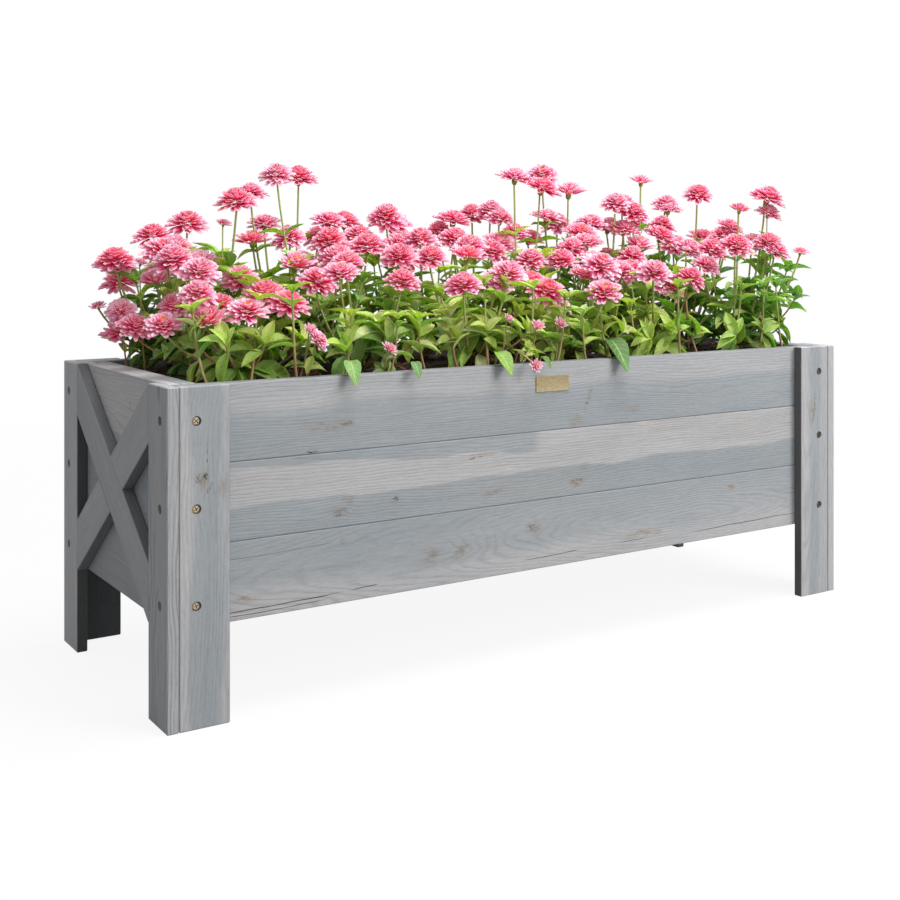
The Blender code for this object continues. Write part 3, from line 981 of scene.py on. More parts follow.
# %% Felt
def felt_finish():
    finish = Finish("liner_felt", Specular_IOR_Level=0.2)
    x, y, z = finish.axes(finish.place())
    one_way = finish.noise(finish.vector(x * 300, y * 300, z * 1500), 1, 3, 0.6, 0.5)
    other_way = finish.noise(finish.vector(x * 1500, y * 1500, z * 300), 1, 3, 0.6, 0.5)
    fuzz = (one_way + other_way) * 0.5
    colour = finish.mix(fuzz.step(0.4, 0.62), shade(30, 31, 30), shade(66, 66, 64))
    return finish.done(colour, 0.88 + fuzz * 0.1, fuzz, 0.8, 0.0006)


felt = felt_finish()
dress("bed_liner", felt)
print("liner:", felt.name)

# %% [markdown]
# ## Zinnia petals and blooms
#
# A double zinnia has some eighty petals, packed by the same rule as the seeds of a
# sunflower: each one is turned 137.5 degrees from the last. The outer ones are long and
# lie nearly flat, and the inner ones are short and stand up, which makes the low dome.
# One petal is shaped from a grid, a spoon with a hollow along its middle. Its UV map runs
# from its base to its tip, so the colour can deepen towards the base on every petal.

# %% One petal
PETAL_ROWS = ((0.4, 0.0), (0.88, 0.02), (1.04, 0.06), (0.7, 0.14))
GOLDEN_ANGLE = math.radians(137.508)


def shaped_strip(name, columns, profile, hollow, tip, thickness):
    """A strip one unit long on +Y, each row of points narrowed and lifted in turn."""
    rows = len(profile) - 1
    piece = start_piece(
        name, "grid", x_subdivisions=columns,
        y_subdivisions=rows, size=1, location=(0, 0.5, 0),
    )
    pick(piece, lambda co: co.y > 0.99 and abs(co.x) < 0.01)
    bpy.ops.transform.translate(value=(0, tip, 0))
    for number, (width, lift) in enumerate(profile):
        height = number / rows
        pick(piece, lambda co: abs(co.y - height) < 0.4 / rows)
        bpy.ops.transform.resize(value=(width, 1, 1), center_override=(0, 0, 0))
        bpy.ops.transform.translate(value=(0, 0, lift))
        for step in range(1, columns // 2 + 1):
            far = width * step / columns
            pick(piece, lambda co: abs(co.y - height) < 0.4 / rows and abs(co.x) > far - 1e-4)
            bpy.ops.transform.translate(value=(0, 0, hollow * width / columns))
    leave_edit()
    modify(piece, "SOLIDIFY", thickness=thickness, offset=0.0)
    smooth(piece, 60)
    return piece


petal = shaped_strip("petal", 2, PETAL_ROWS, 0.18, 0.05, 0.035)
print("petal:", triangles([petal]), "triangles")

# %% [markdown]
# ## Finishes of a bloom
#
# A petal is deep rose at its base and pale at its rim, and the heart's young petals are
# warmer. Petals are thin enough to let light through, which Subsurface gives, and their
# colour also glows faintly, which is painted light. Each bloom and each petal carries
# numbers of its own, so that no two have quite the same colour.

# %% Petal, calyx and stem finishes
PETAL_DEEP = shade(220, 36, 104)
PETAL_ROSE = shade(243, 151, 185)
PETAL_PALE = shade(251, 209, 219)
PETAL_WARM = shade(242, 92, 92)
PETAL_CORAL = shade(246, 132, 128)
SEEN_THROUGH = 0.5  # how much light a thin petal or leaf lets through
# painted light: the petals glow faintly in their own colour
PETAL_GLOW = 0.07  # the light that a crowd of petals passes on to each other


def thin_finish(name, gloss, red, green, blue, **plain):
    """A thin skin that light passes through, and its UV map's two axes."""
    finish = Finish(name, Specular_IOR_Level=gloss, Subsurface_Weight=SEEN_THROUGH,
                    Subsurface_Radius=(red, green, blue), Subsurface_Scale=0.004, **plain)
    return finish, finish.axes(finish.node("UVMap"))[:2]


def petal_finish():
    finish, (across, along) = thin_finish("zinnia_petal", 0.25, 1.0, 0.3, 0.4,
                                          Emission_Strength=PETAL_GLOW)
    tone, flower, ring = [finish.own(name) for name in ("tone", "flower", "ring")]
    veins = (across * (math.tau * 5)).sine() * 0.5 + 0.5
    reach = along + (tone - 0.5) * 0.36 - flower * 0.18 - ring * 0.08
    colour = finish.mix(reach.step(0.12, 0.56), PETAL_DEEP, PETAL_ROSE)
    colour = finish.mix(reach.step(0.5, 1.0), colour, PETAL_PALE)
    warm = ring * (1 - reach.step(0.3, 0.8))
    colour = finish.mix(warm * 0.55, colour, PETAL_WARM)
    coral = (tone * 0.6 + flower * 0.4).step(0.6, 0.86) * (0.2 + ring * 0.4)
    colour = finish.mix(coral, colour, PETAL_CORAL)
    colour = finish.lit(colour, 1.02 - veins * 0.06)
    # painted light: the same colour also glows, lifting the shade between petals
    finish.feed(finish.shader.inputs["Emission Color"], colour)
    return finish.done(colour, 0.5 + veins * 0.12, veins, 0.3, 0.0002)


def green_finish(name, low, high, roughness):
    """Soft green skin with lighter and darker patches, for calyxes and buds."""
    finish = Finish(name, Specular_IOR_Level=0.3)
    point = finish.place()
    x, y, z = finish.axes(point)
    patches = finish.noise(point, 260, 3, 0.6)
    ribs = finish.noise(finish.vector(x * 500, y * 500, z * 60))
    colour = finish.mix(patches.step(0.35, 0.65), low, high)
    return finish.done(colour, roughness + patches * 0.15, ribs, 0.4, 0.0003)


def stem_finish():
    """Reddish brown where a stem is old, green where it is young."""
    finish = Finish("zinnia_stem", Specular_IOR_Level=0.3)
    point = finish.place()
    x, y, z = finish.axes(point)
    patches = finish.noise(point, 14, 3, 0.6)
    ribs = finish.noise(finish.vector(x * 900, y * 900, z * 50))
    young = (z + (patches - 0.5) * 0.34).step(0.43, 0.56)
    colour = finish.mix(young, shade(172, 136, 98), shade(186, 204, 122))
    colour = finish.lit(colour, 0.9 + ribs * 0.2)
    return finish.done(colour, 0.55 + patches * 0.1, ribs, 0.4, 0.0003)


petal.data.materials.append(petal_finish())
stem_look = stem_finish()
print("finishes:", petal.data.materials[0].name, "and", stem_look.name)

# %% The calyx and the heart
def calyx_cup():
    """The green cup under a bloom, drawn out of a small disc from the stem upwards."""
    cup = start_piece(
        "calyx", "circle", vertices=10, radius=0.07,
        fill_type="NGON", location=(0, 0, -0.31),
    )
    for grow, rise in ((1.6, 0.03), (1.3, 0.08), (1.15, 0.14), (0.9, 0.05)):
        bpy.ops.mesh.extrude_region_move(TRANSFORM_OT_translate={"value": (0, 0, rise)})
        bpy.ops.transform.resize(value=(grow, grow, 1))
    bpy.ops.mesh.select_all(action="SELECT")
    bpy.ops.mesh.normals_make_consistent(inside=False)
    leave_edit()
    smooth(cup, 50)
    return cup


def heart_dome():
    """The yellow-orange middle, a dome of small florets."""
    dome = start_piece(
        "heart", "ico_sphere", subdivisions=2, radius=0.16,
        location=(0, 0, 0.38), scale=(1, 1, 0.8),
    )
    pick(dome, lambda centre, normal: normal.z > 0.35, "faces")
    step_in(0.014, (0, 0, 0.03), use_individual=True)
    leave_edit()
    return dome


calyx, heart = calyx_cup(), heart_dome()
for part, name, low, high, roughness in (
    (calyx, "zinnia_calyx", shade(122, 148, 52), shade(184, 200, 92), 0.5),
    (heart, "zinnia_heart", shade(214, 120, 40), shade(238, 178, 60), 0.6),
):
    part.data.materials.append(green_finish(name, low, high, roughness))
print("calyx and heart:", triangles([calyx, heart]), "triangles")

# %% Blooms
# name: petals, droop of the outer ones and tilt of the inner ones in degrees, rise of the
# middle, size of a petal, and whether the heart shows
BLOOM_KINDS = {
    "full_a": (112, -24, 76, 0.5, 1.02, False),
    "full_b": (102, -14, 74, 0.42, 1.03, False),
    "open_a": (86, -18, 60, 0.32, 1.04, True),
    "open_b": (74, -6, 58, 0.26, 1.03, True),
    "half_a": (44, 20, 82, 0.3, 0.94, False),
    "half_b": (36, 8, 76, 0.22, 0.98, True),
}


def bloom_of(name, petals, low_tilt, high_tilt, rise, size, shows_heart):
    """A bloom of radius 1, its petals laid from the outside in."""
    chance = random.Random("bloom " + name)
    parts = [copy_of(calyx, Matrix.Identity(4), tone=0.5, ring=0.0)]
    for number in range(petals):
        inward = number / (petals - 1)
        turn = number * GOLDEN_ANGLE + chance.uniform(-0.16, 0.16)
        outward = compass(turn)
        base = outward * (0.3 - 0.25 * inward) + UP * rise * inward
        tilt = math.radians(low_tilt + (high_tilt - low_tilt) * inward ** 1.35)
        tilt += chance.uniform(-1, 1) * (0.09 + 0.11 * inward)
        along = outward * math.cos(tilt) + UP * math.sin(tilt)
        up = UP * math.cos(tilt) - outward * math.sin(tilt)
        length = size * (0.72 - 0.42 * inward ** 0.9) * chance.uniform(0.92, 1.08)
        width = (0.28 - 0.1 * inward) * chance.uniform(0.85, 1.15)
        placing = facing(base, along, up, (width, length, length))
        parts.append(copy_of(petal, placing, tone=chance.random(), ring=inward))
    if shows_heart:
        parts.append(copy_of(heart, Matrix.Identity(4), tone=0.5, ring=1.0))
    bloom = joined("bloom_" + name, parts)
    set_tone(bloom, "flower", 0.5)
    return bloom


blooms = {name: bloom_of(name, *shape) for name, shape in BLOOM_KINDS.items()}
print({name: triangles([bloom]) for name, bloom in blooms.items()})

# %% [markdown]
# ## Leaves
#
# Zinnia leaves are pointed ovals that clasp the stem. They sit in pairs, each pair turned
# a quarter against the one below. A leaf is folded a little along its midrib and arches
# over under its own weight. Four forms are made from the same grid, because a bed in
# which every leaf bends alike looks false. The veins come from the UV map.

# %% Leaf forms
LEAF_ARCHES = {"rising": 0.08, "arched": -0.18, "drooping": -0.36, "draped": -0.95}
LEAF_ROWS = 5
GREENS = (
    (0.0, shade(72, 112, 44)), (0.3, shade(128, 170, 70)), (0.55, shade(176, 210, 92)),
    (0.78, shade(198, 222, 108)), (1.0, shade(214, 232, 164)),
)


def leaf_profile(arch):
    """Half-way up a leaf is widest; its height bends over by arch towards the tip."""
    rows = []
    bend = 1.5 if arch < -0.9 else 2.0
    for number in range(LEAF_ROWS + 1):
        along = number / LEAF_ROWS
        width = 0.14 + 0.86 * math.sin(math.pi * along ** 0.85) ** 0.9
        width = 0.1 if along == 1 else width
        rows.append((width, arch * along ** bend + 0.06 * math.sin(math.pi * along)))
    return rows


def leaf_finish():
    finish, (across, along) = thin_finish("zinnia_leaf", 0.4, 0.6, 1.0, 0.2)
    point = finish.place()
    off = (across - 0.5).size() * 2
    rib = 1 - off.step(0.02, 0.14)
    branch = ((along * 7 - off * 1.6) * math.tau).sine() * 0.5 + 0.5
    veins = (branch ** 8) * (1 - off.step(0.7, 1.0))
    patches = finish.noise(point, 90, 3, 0.6)
    colour = finish.ramp(finish.own("tone") + (patches - 0.5) * 0.28, GREENS)
    to_right = finish.axes(point)[0].step(0.2, 0.6)
    cool = finish.noise(point, 6, 2).step(0.48, 0.64) * 0.45 + to_right * 0.3
    colour = finish.mix(cool, colour, shade(122, 176, 112))
    colour = finish.mix((rib + veins * 0.3).clamped() * 0.4, colour, shade(206, 222, 146))
    colour = finish.lit(colour, 1.04 - (1 - veins) * 0.1 + (patches - 0.5) * 0.2)
    height = rib * 0.6 + veins + patches * 0.5
    return finish.done(colour, 0.46 + patches * 0.2, height, 0.5, 0.0006)


leaf_look = leaf_finish()
leaf_forms = {}
for name, arch in LEAF_ARCHES.items():
    leaf = shaped_strip("leaf_" + name, 4, leaf_profile(arch), 0.3, 0.04, 0.012)
    leaf.data.materials.append(leaf_look)
    leaf_forms[name] = leaf
print("leaf forms:", {name: triangles([leaf]) for name, leaf in leaf_forms.items()})

# %% [markdown]
# ## The planting
#
# Eighteen zinnias stand in three rows of six, each in a cell of its own. The frame has a
# plain solid for every bloom, so the places are worked out here by the same rule and with
# the same seed: a ring of five flowering stems makes the even canopy, and the tallest and
# lowest blooms are set one by one. Stems lean out of the crown first and then climb.

# %% Where each bloom grows
INSIDE_X = -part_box("left_top_rail")[1][0]
INSIDE_Y = -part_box("front_plank_top")[1][1]
SOIL_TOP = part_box("soil")[1][2]
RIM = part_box("front_plank_top")[1][2]
COLUMNS, ROWS = 6, 3
STEMS_PER_PLANT = 5
PLANTING_SEED = 7
CANOPY = (
    (0.54, 0.568, 0.568, 0.55, 0.56, 0.588),
    (0.572, 0.594, 0.6, 0.592, 0.584, 0.612),
    (0.588, 0.626, 0.632, 0.634, 0.636, 0.662),
)
CANOPY_SPREAD = 0.026
BLOOM_DIAMETERS = (0.056, 0.07)
CELL_MARGIN = 0.001
CROWN_HEIGHT = 0.02
ELBOW_OUT, ELBOW_UP = 0.62, 0.42
PLACED_STEMS = (
    (-0.58, 0.16, 0.515), (-0.555, 0.13, 0.475), (-0.505, 0.13, 0.62),
    (-0.45, 0.13, 0.64), (-0.34, 0.14, 0.69), (-0.26, 0.13, 0.715),
    (0.04, 0.13, 0.65), (0.12, 0.13, 0.665), (0.235, 0.13, 0.735),
    (0.305, 0.14, 0.705), (0.475, 0.13, 0.73), (0.54, 0.13, 0.685),
    (-0.57, 0.02, 0.49), (-0.52, -0.01, 0.52), (-0.425, 0.0, 0.67),
    (-0.36, 0.05, 0.715), (-0.16, 0.05, 0.65), (0.08, 0.0, 0.72),
    (0.16, 0.02, 0.705), (0.3, 0.0, 0.68), (0.36, 0.0, 0.665),
    (0.5, 0.0, 0.7), (-0.575, -0.11, 0.5), (0.475, -0.13, 0.67),
    (0.545, -0.13, 0.69), (0.575, -0.18, 0.595),
    (-0.55, 0.15, 0.55), (-0.57, 0.11, 0.585), (-0.535, 0.03, 0.555),
    (-0.53, -0.15, 0.505), (-0.52, -0.1, 0.57), (0.525, -0.15, 0.61),
    (0.55, -0.05, 0.64), (0.32, 0.0, 0.635), (0.255, 0.03, 0.61),
    (0.36, -0.02, 0.605), (-0.27, 0.0, 0.61),
)

# where a placed stem's bloom isn't a usual one: its kind, and its size against the usual
CHOSEN_BLOOMS = {
    (-0.58, 0.16): ("half_b", 0.45), (0.575, -0.18): ("half_b", 0.62),
    (0.475, -0.13): ("half_a", 0.7), (0.475, 0.13): ("half_b", 0.85),
    (-0.36, 0.05): ("open_a", 1.0), (0.235, 0.13): ("open_a", 1.0),
}


def cell_edges(count, inside, outside):
    edges = [-inside + 2 * inside * number / count for number in range(count + 1)]
    edges[0], edges[-1] = -outside, outside
    return edges


def flowering_stems(column, row):
    """The middle of a plant's cell, and each bloom's place, radius and chosen kind."""
    x_edges = cell_edges(COLUMNS, INSIDE_X, LENGTH / 2)[column:column + 2]
    y_edges = cell_edges(ROWS, INSIDE_Y, DEPTH / 2)[row:row + 2]
    half = Vector((INSIDE_X / COLUMNS, INSIDE_Y / ROWS))
    centre = Vector((-INSIDE_X + (2 * column + 1) * half.x, -INSIDE_Y + (2 * row + 1) * half.y))
    chance = random.Random(PLANTING_SEED + 100 * row + column)
    wishes = []
    first_angle = chance.uniform(0, math.tau)
    for number in range(STEMS_PER_PLANT):
        angle = first_angle + math.tau * number / STEMS_PER_PLANT + chance.uniform(-0.3, 0.3)
        reach = chance.uniform(0.7, 1.1)
        x = centre.x + reach * half.x * math.cos(angle)
        y = centre.y + reach * half.y * math.sin(angle)
        height = CANOPY[row][column] + chance.uniform(-CANOPY_SPREAD, CANOPY_SPREAD)
        wishes.append(((x, y, height), chance.uniform(*BLOOM_DIAMETERS)))
    for place in PLACED_STEMS:
        if x_edges[0] < place[0] < x_edges[1] and y_edges[0] < place[1] < y_edges[1]:
            wishes.append((place, chance.uniform(*BLOOM_DIAMETERS)))
    heads = []
    for place, diameter in wishes:
        head = Vector(place)
        for axis, edges in enumerate((x_edges, y_edges)):
            clear = diameter / 2 + CELL_MARGIN
            head[axis] = max(edges[0] + clear, min(edges[1] - clear, head[axis]))
        kind, size = CHOSEN_BLOOMS.get(place[:2], (None, 1.0))
        heads.append((head, diameter / 2 * size, kind))
    return centre, heads


planting = {
    3 * column + row + 1: flowering_stems(column, row)
    for column in range(COLUMNS)
    for row in range(ROWS)
}
print("blooms in the frame:", sum(len(heads) for centre, heads in planting.values()))

# %% [markdown]
# ## Stems
#
# A stem is a smooth curve from its foot past an elbow to its top. One curve object holds
# all of a plant's stems, and each point has its own radius, so that they taper.

# %% Stems
STEM_THICK = (0.0023, 0.0016)
STEM_RINGS = 10


class Stem:
    """A smooth curve from a foot to a top, which passes its elbow half-way."""

    def __init__(self, foot, top, thick):
        rise = top - foot
        elbow = foot + Vector((rise.x * ELBOW_OUT, rise.y * ELBOW_OUT, rise.z * ELBOW_UP))
        self.foot, self.top, self.thick = foot, top, thick
        self.pull = 2 * elbow - (foot + top) / 2
        self.length = rise.length

    def at(self, share):
        back = 1 - share
        return back * back * self.foot + 2 * back * share * self.pull + share * share * self.top

    def climb(self, share):
        way = (1 - share) * (self.pull - self.foot) + share * (self.top - self.pull)
        return way.normalized()


def stems_piece(name, stems):
    """All of a plant's stems, drawn as one curve object and then made a mesh."""
    curve = bpy.data.curves.new(name, "CURVE")
    curve.dimensions = "3D"
    curve.bevel_depth = 1.0
    curve.bevel_resolution = 1
    curve.use_fill_caps = True
    thick, thin = STEM_THICK
    for stem in stems:
        line = curve.splines.new("POLY")
        line.points.add(STEM_RINGS)
        for number, point in enumerate(line.points):
            share = number / STEM_RINGS
            point.co = (*stem.at(share), 1)
            point.radius = (thick + (thin - thick) * share) * stem.thick
    select_only(linked(name, curve))
    bpy.ops.object.convert(target="MESH")
    smooth(bpy.context.object, 60)
    bpy.context.object.data.materials.append(stem_look)
    return bpy.context.object


# %% [markdown]
# ## Leaves and shoots
#
# Leaves stand in pairs up a stem, and four young ones close a shoot. Each is a copy of
# one of the four forms, with its own length, lift and tone. One that would stick out too
# far past the box is turned to run along the edge, as leaves do that meet a neighbour.

# %% A plant and its leaves
PLANT_SEED = 500
PLANT_TONES = (0.22, 0.28, 0.39, 0.36, 0.22, 0.16)  # from left to right, 1 is palest
# painted shade: leaves towards the back are painted darker
BACK_SHADE = 0.8  # how much darker leaves get with each metre towards the back
NODE_SPACING = 0.04
LEAF_SLENDER = 0.5
OUTER_REACH = (0.608, 0.228)  # how far out a leaf may go above the rim
INNER_REACH = (INSIDE_X - 0.006, INSIDE_Y - 0.006)
FREE_HEIGHT = RIM + 0.055
# a shoot's thickness, where on it leaves start and end, their lengths at its foot and at
# its top, and the length of the leaves at its tip
LEAFY = (0.85, 0.35, 0.85, (0.054, 0.042), 0.044)
UPRIGHT = (0.95, 0.5, 0.88, (0.046, 0.03), 0.034)


class Plant:
    """One zinnia as it grows: what it has so far, its tone and its own chance."""

    def __init__(self, number, centre):
        self.number, self.centre = number, centre
        self.in_front = number % ROWS == 1
        self.crown = Vector((*centre, SOIL_TOP + CROWN_HEIGHT * 0.3))
        self.brightness = PLANT_TONES[(number - 1) // ROWS] - BACK_SHADE * centre.y
        self.chance = random.Random(PLANT_SEED + number)
        self.stems, self.leaves, self.blooms = [], [], []

    def stem(self, foot, top, thick=1.0):
        self.stems.append(Stem(foot, top, thick))
        return self.stems[-1]

    def leaf(self, place, outward, climb, lift, length, slender, form, tone):
        along = (outward * math.cos(lift) + climb * math.sin(lift)).normalized()
        for attempt in range(4):
            for axis, limit in enumerate(OUTER_REACH if place.z > FREE_HEIGHT else INNER_REACH):
                if abs(place[axis] + along[axis] * length) > limit:
                    along[axis] *= 0.45
            along.normalize()
        up = climb if abs(climb.dot(along)) < 0.95 else UP
        placing = facing(place, along, up, (length * slender, length, length))
        self.leaves.append(copy_of(leaf_forms[form], placing, tone=tone))

    def leaf_pairs(self, stem, first, last, lengths):
        """Pairs of leaves up a stem, each turned a quarter against the pair below."""
        uniform = self.chance.uniform
        count = max(1, round(stem.length * (last - first) / NODE_SPACING))
        turn = uniform(0, math.tau)
        for number in range(count + 1):
            share = first + (last - first) * number / count
            place, climb = stem.at(share), stem.climb(share)
            sideways = climb.cross(compass(turn)).normalized()
            size = lengths[0] + (lengths[1] - lengths[0]) * share
            for outward in (sideways, -sideways):
                length = size * uniform(0.8, 1.15)
                lift = math.radians(uniform(0, 32) + 10 * share)
                form = self.chance.choice(("rising", "arched", "arched", "drooping"))
                tone = self.brightness + 0.26 * share + uniform(-0.38, 0.38)
                slender = LEAF_SLENDER * uniform(0.85, 1.15) * (1.05 - 0.25 * share)
                self.leaf(place, outward, climb, lift, length, slender, form, tone)
            turn += math.pi / 2 + uniform(-0.25, 0.25)

    def leafy_tip(self, stem, size):
        """The four young leaves that close a shoot, the inner two shorter and steeper."""
        uniform = self.chance.uniform
        climb = stem.climb(1.0)
        turn = uniform(0, math.tau)
        for inner in (False, False, True, True):
            turn += math.pi / 2 + uniform(-0.2, 0.2)
            outward = climb.cross(compass(turn, 0.01)).normalized()
            length = size * (0.72 if inner else 1.0) * uniform(0.85, 1.1)
            lift = math.radians(uniform(20, 46) + 14 * inner)
            tone = self.brightness + 0.25 + uniform(-0.1, 0.15)
            self.leaf(stem.top, outward, climb, lift, length, 0.46, "arched", tone)

    def shoot(self, foot, top, kind):
        thick, first, last, lengths, tip = kind
        stem = self.stem(foot, top, thick)
        self.leaf_pairs(stem, first, last, lengths)
        self.leafy_tip(stem, tip)


# %% [markdown]
# ## Heads
#
# Blooms look up and a little towards the front, and the low ones lean more than the tall
# ones. Each is a copy of one of the six kinds, turned about its own axis. A young head is
# a rosette of small leaves, packed by the same rule as petals.

# %% Heads
NECK = 0.29  # how far below a bloom's middle its stem ends, in bloom radii
LOW_BLOOM, TALL_BLOOM = 0.5, 0.72
ROSETTE_LEAVES = 13
BARE_NECK = 0.07  # how much of a flowering stem has no leaves below its bloom
SMALL_SHARE = 0.12
USUAL_BLOOMS = ("full_a", "full_a", "full_b", "full_b", "open_a", "open_b")
SMALL_BLOOMS = ("half_a", "half_b", "open_b")
TURNED_TO_SHOW = Vector((-0.36, -0.52, 1)).normalized()  # so that a bloom shows its heart


def head_axis(head, chance):
    tallness = min(1.0, max(0.0, (head.z - LOW_BLOOM) / (TALL_BLOOM - LOW_BLOOM)))
    lean = math.radians(30 - 9 * tallness + chance.uniform(-8, 8))
    lean *= 0.75 if head.y > 0.1 else 1.0
    sideways = head.x * 0.3 - 0.35 + chance.uniform(-0.55, 0.55)
    toward = Vector((sideways, chance.uniform(-1.3, -0.7), 0))
    return (toward.normalized() * math.sin(lean) + UP * math.cos(lean)).normalized()


def head_at(place, axis, radius, kind, chance):
    spin = Vector((math.cos(chance.uniform(0, math.tau)), math.sin(chance.random() * 6), 0.2))
    placing = facing(place, axis.cross(spin), axis, (radius, radius, radius))
    return copy_of(blooms[kind], placing, flower=chance.random())


def rosette(place, axis, size, chance):
    made = []
    for number in range(ROSETTE_LEAVES):
        inward = number / (ROSETTE_LEAVES - 1)
        outward = compass(number * GOLDEN_ANGLE, 0.01).cross(axis).normalized()
        tilt = math.radians(12 + 62 * inward)
        along = outward * math.cos(tilt) + axis * math.sin(tilt)
        length = size * (1 - 0.45 * inward)
        placing = facing(place, along, axis, (length * 0.52, length, length))
        tone = 0.62 + chance.uniform(-0.1, 0.1)
        made.append(copy_of(leaf_forms["rising"], placing, tone=tone))
    return made


def flowering_stem(plant, head, radius, chosen):
    chance = plant.chance
    axis = head_axis(head, chance)
    axis = TURNED_TO_SHOW if chosen == "open_a" else axis
    off = Vector((chance.uniform(-1, 1), chance.uniform(-1, 1), 0)) * 0.006
    stem = plant.stem(plant.crown + off, head - axis * radius * NECK)
    plant.leaf_pairs(stem, 0.2, max(0.45, 1 - BARE_NECK / stem.length), (0.056, 0.034))
    kind = chance.choice(SMALL_BLOOMS if chance.random() < SMALL_SHARE else USUAL_BLOOMS)
    plant.blooms.append(head_at(head, axis, radius, chosen or kind, chance))


# %% [markdown]
# ## Low along the front
#
# A few leaves hang over the front rim, and small late blooms stand or hide between the
# lower leaves. They are set one by one, and each grows from the plant whose cell it is in.

# %% Low leaves and late blooms
# place along the rim, length, width against the length, turn in degrees, tone
DRAPED_LEAVES = (
    (-0.342, 0.033, 0.74, -12, 0.24), (-0.245, 0.023, 0.7, -10, 0.0),
    (-0.093, 0.034, 0.84, 2, 0.3), (-0.024, 0.018, 0.8, 15, 0.0),
    (0.134, 0.05, 0.74, -4, -0.15),
)
# middle, radius, kind
LATE_BLOOMS = (
    ((-0.4, -0.192, 0.494), 0.012, "half_a"), ((-0.39, -0.196, 0.48), 0.018, "open_b"),
    ((-0.278, -0.195, 0.463), 0.014, "half_b"), ((-0.07, -0.19, 0.498), 0.011, "half_a"),
    ((-0.038, -0.196, 0.452), 0.016, "rosette"), ((-0.015, -0.19, 0.485), 0.014, "half_a"),
    ((0.028, -0.19, 0.488), 0.014, "half_b"), ((-0.047, -0.229, 0.43), 0.012, "half_b"),
    ((0.064, -0.15, 0.514), 0.018, "open_b"), ((-0.548, 0.06, 0.582), 0.014, "half_b"),
    ((-0.432, 0.03, 0.64), 0.014, "half_b"), ((0.548, -0.13, 0.664), 0.025, "full_b"),
    ((0.31, -0.12, 0.525), 0.008, "half_a"), ((0.395, -0.08, 0.6), 0.011, "half_a"),
    ((-0.563, 0.1, 0.51), 0.025, "full_a"),
)
RIM_REACH = 0.231  # how far in front of the bed's middle a draped leaf's tip is
LOW_FOOT_Y = -0.165
ROOT_DEPTH = 0.012  # how far below the crown a low stem starts
LOW_LOOK = Vector((-0.2, -1, 0.45)).normalized()  # the way a bloom below the rim looks


def plant_below(x, y=-INSIDE_Y):
    """The number of the plant whose cell holds a place."""
    column = int((x + INSIDE_X) / (2 * INSIDE_X / COLUMNS))
    row = int((y + INSIDE_Y) / (2 * INSIDE_Y / ROWS))
    return ROWS * column + row + 1


def draped_leaf(plant, x, length, broad, turn, tone):
    along = -compass(math.radians(turn) + math.pi / 2)
    place = Vector((x, -RIM_REACH + 1.04 * length * abs(along.y), RIM + 0.55 * length))
    plant.stem(Vector((x + 0.01, LOW_FOOT_Y, plant.crown.z - ROOT_DEPTH)), place, 0.7)
    placing = facing(place, along, UP, (length * broad, length, length))
    plant.leaves.append(copy_of(leaf_forms["draped"], placing, tone=tone))


def late_bloom(plant, place, radius, kind):
    chance = plant.chance
    axis = Vector((chance.uniform(-0.5, 0.5), -0.8, 0.75 if place.z < 0.55 else 2.0)).normalized()
    foot = place * 0.9 + plant.crown * 0.1
    foot = Vector((foot.x, max(place.y, LOW_FOOT_Y), plant.crown.z - ROOT_DEPTH))
    if place.z < RIM:
        shoulder = Vector((place.x - 0.004, place.y + 0.04, RIM + 0.016))
        plant.stem(foot, shoulder, 0.7)
        foot, axis = shoulder, LOW_LOOK
    stem = plant.stem(foot, place - axis * radius * NECK, 0.65)
    if place.z > RIM:
        plant.leaf_pairs(stem, 0.45, 0.75, (0.03, 0.022))
    if kind == "rosette":
        plant.leaves += rosette(place, axis, radius, chance)
    else:
        plant.blooms.append(head_at(place, axis, radius, kind, chance))
        set_tone(plant.blooms[-1], "flower", 0.0)


print("low parts:", len(DRAPED_LEAVES), "leaves and", len(LATE_BLOOMS), "blooms")

# %% [markdown]
# ## Growing a plant
#
# Each plant becomes three pieces, its stems, its leaves and its blooms, because a bench
# would sort them so and each has its own finish. Its flowering stems come first, then
# leafy shoots all round, and in the front row low shoots and upright stems by the rim.

# %% Plants
FRONT_SHOOTS, OTHER_SHOOTS = (5, 0.0), (7, 0.03)  # how many, and how much higher they end
LOW_SHOOTS = 3  # short ones along the front rim
FRONT_STEMS = 3  # bare-footed stems that stand close behind the rim
LOW_SEED, LOW_TONE = 900, 0.45
PLACED_SHOOTS = {16: (
    (0.578, -0.145, 0.56), (0.57, -0.17, 0.51), (0.574, -0.095, 0.575), (0.558, -0.13, 0.6),
)}


def along_front(plant, number, count):
    """The place along X of one of count stems, spread evenly over the plant's cell."""
    return plant.centre.x + ((number + 0.5) / count * 2 - 1) * INSIDE_X / COLUMNS


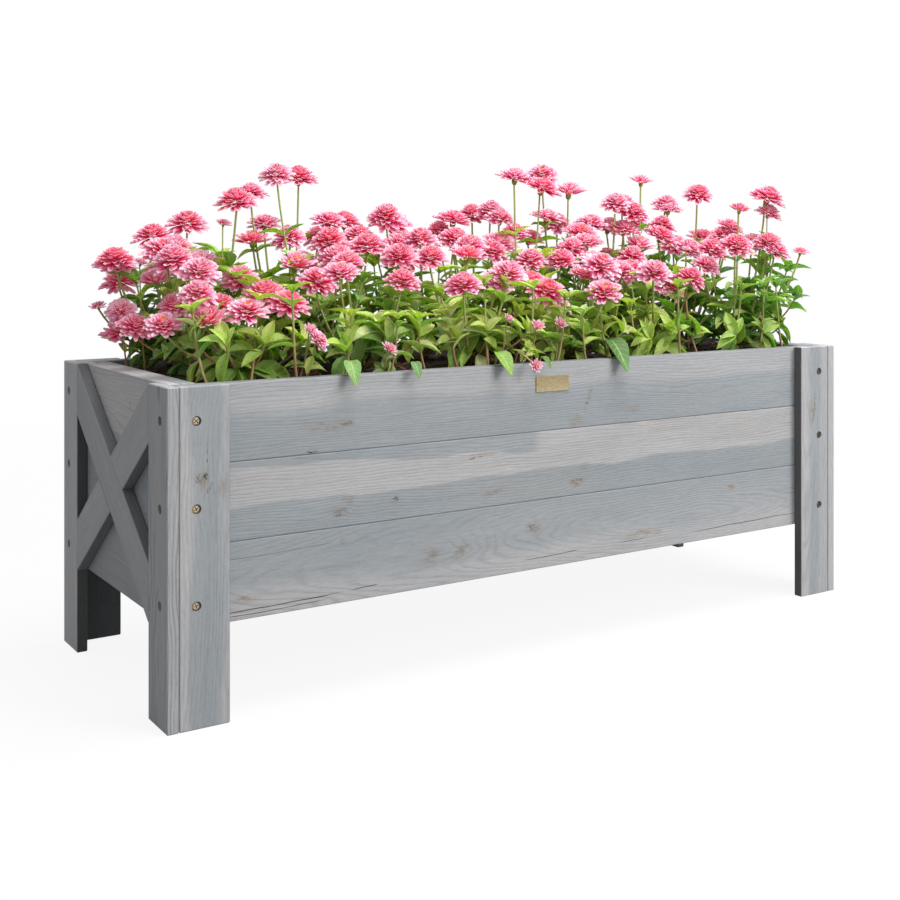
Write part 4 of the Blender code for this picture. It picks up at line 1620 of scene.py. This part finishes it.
def shoot_tops(plant):
    uniform = plant.chance.uniform
    shoots, lift = FRONT_SHOOTS if plant.in_front else OTHER_SHOOTS
    tops = []
    for shoot in range(shoots):
        turn = math.tau * (shoot + uniform(-0.3, 0.3)) / shoots
        reach = uniform(0.45, 0.95)
        x = plant.centre.x + reach * INSIDE_X / COLUMNS * math.cos(turn)
        y = plant.centre.y + reach * INSIDE_Y / ROWS * math.sin(turn)
        tops.append((x, y, RIM + lift + uniform(0.035, 0.125)))
    tops += PLACED_SHOOTS.get(plant.number, ())
    for shoot in range(LOW_SHOOTS if plant.in_front else 0):
        x = along_front(plant, shoot, LOW_SHOOTS) + uniform(-0.012, 0.012)
        tops.append((x, uniform(-0.192, -0.16), RIM + uniform(0.02, 0.06)))
    return tops


def upright_stem(plant, number):
    """One stem that stands close behind the rim."""
    uniform = plant.chance.uniform
    x = along_front(plant, number, FRONT_STEMS) + uniform(-0.016, 0.016)
    y = uniform(-0.19, -0.17)
    top = Vector((x + uniform(-0.02, 0.02), y + uniform(-0.008, 0.02), RIM + uniform(0.06, 0.125)))
    plant.shoot(Vector((x, y, plant.crown.z - ROOT_DEPTH)), top, UPRIGHT)


def low_parts(plant):
    """What a plant hangs over the rim or hides low down, with a chance and a tone apart."""
    plant.chance = random.Random(LOW_SEED + plant.number)
    plant.brightness = LOW_TONE
    for x, *shape in DRAPED_LEAVES:
        if plant_below(x) == plant.number:
            draped_leaf(plant, x, *shape)
    for place, radius, kind in LATE_BLOOMS:
        if plant_below(place[0], max(place[1], -INSIDE_Y)) == plant.number:
            late_bloom(plant, Vector(place), radius, kind)


def grow_plant(number, centre, heads):
    plant = Plant(number, centre)
    for head, radius, chosen in heads:
        flowering_stem(plant, head, radius, chosen)
    for top in shoot_tops(plant):
        plant.shoot(plant.crown, Vector(top), LEAFY)
    for upright in range(FRONT_STEMS if plant.in_front else 0):
        upright_stem(plant, upright)
    low_parts(plant)
    node = f"zinnia_{number:02d}"
    pieces = (
        stems_piece(node + "_stems", plant.stems),
        joined(node + "_leaves", plant.leaves),
        joined(node + "_blooms", plant.blooms),
    )
    for piece in pieces:
        hand_over(piece, "zinnia", node)
    return pieces


grown = []
for number, (centre, heads) in planting.items():
    grown += grow_plant(number, centre, heads)
for master in (petal, calyx, heart, *blooms.values(), *leaf_forms.values()):
    bpy.data.objects.remove(master)
print("plants:", len(grown), "pieces,", triangles(grown), "triangles")
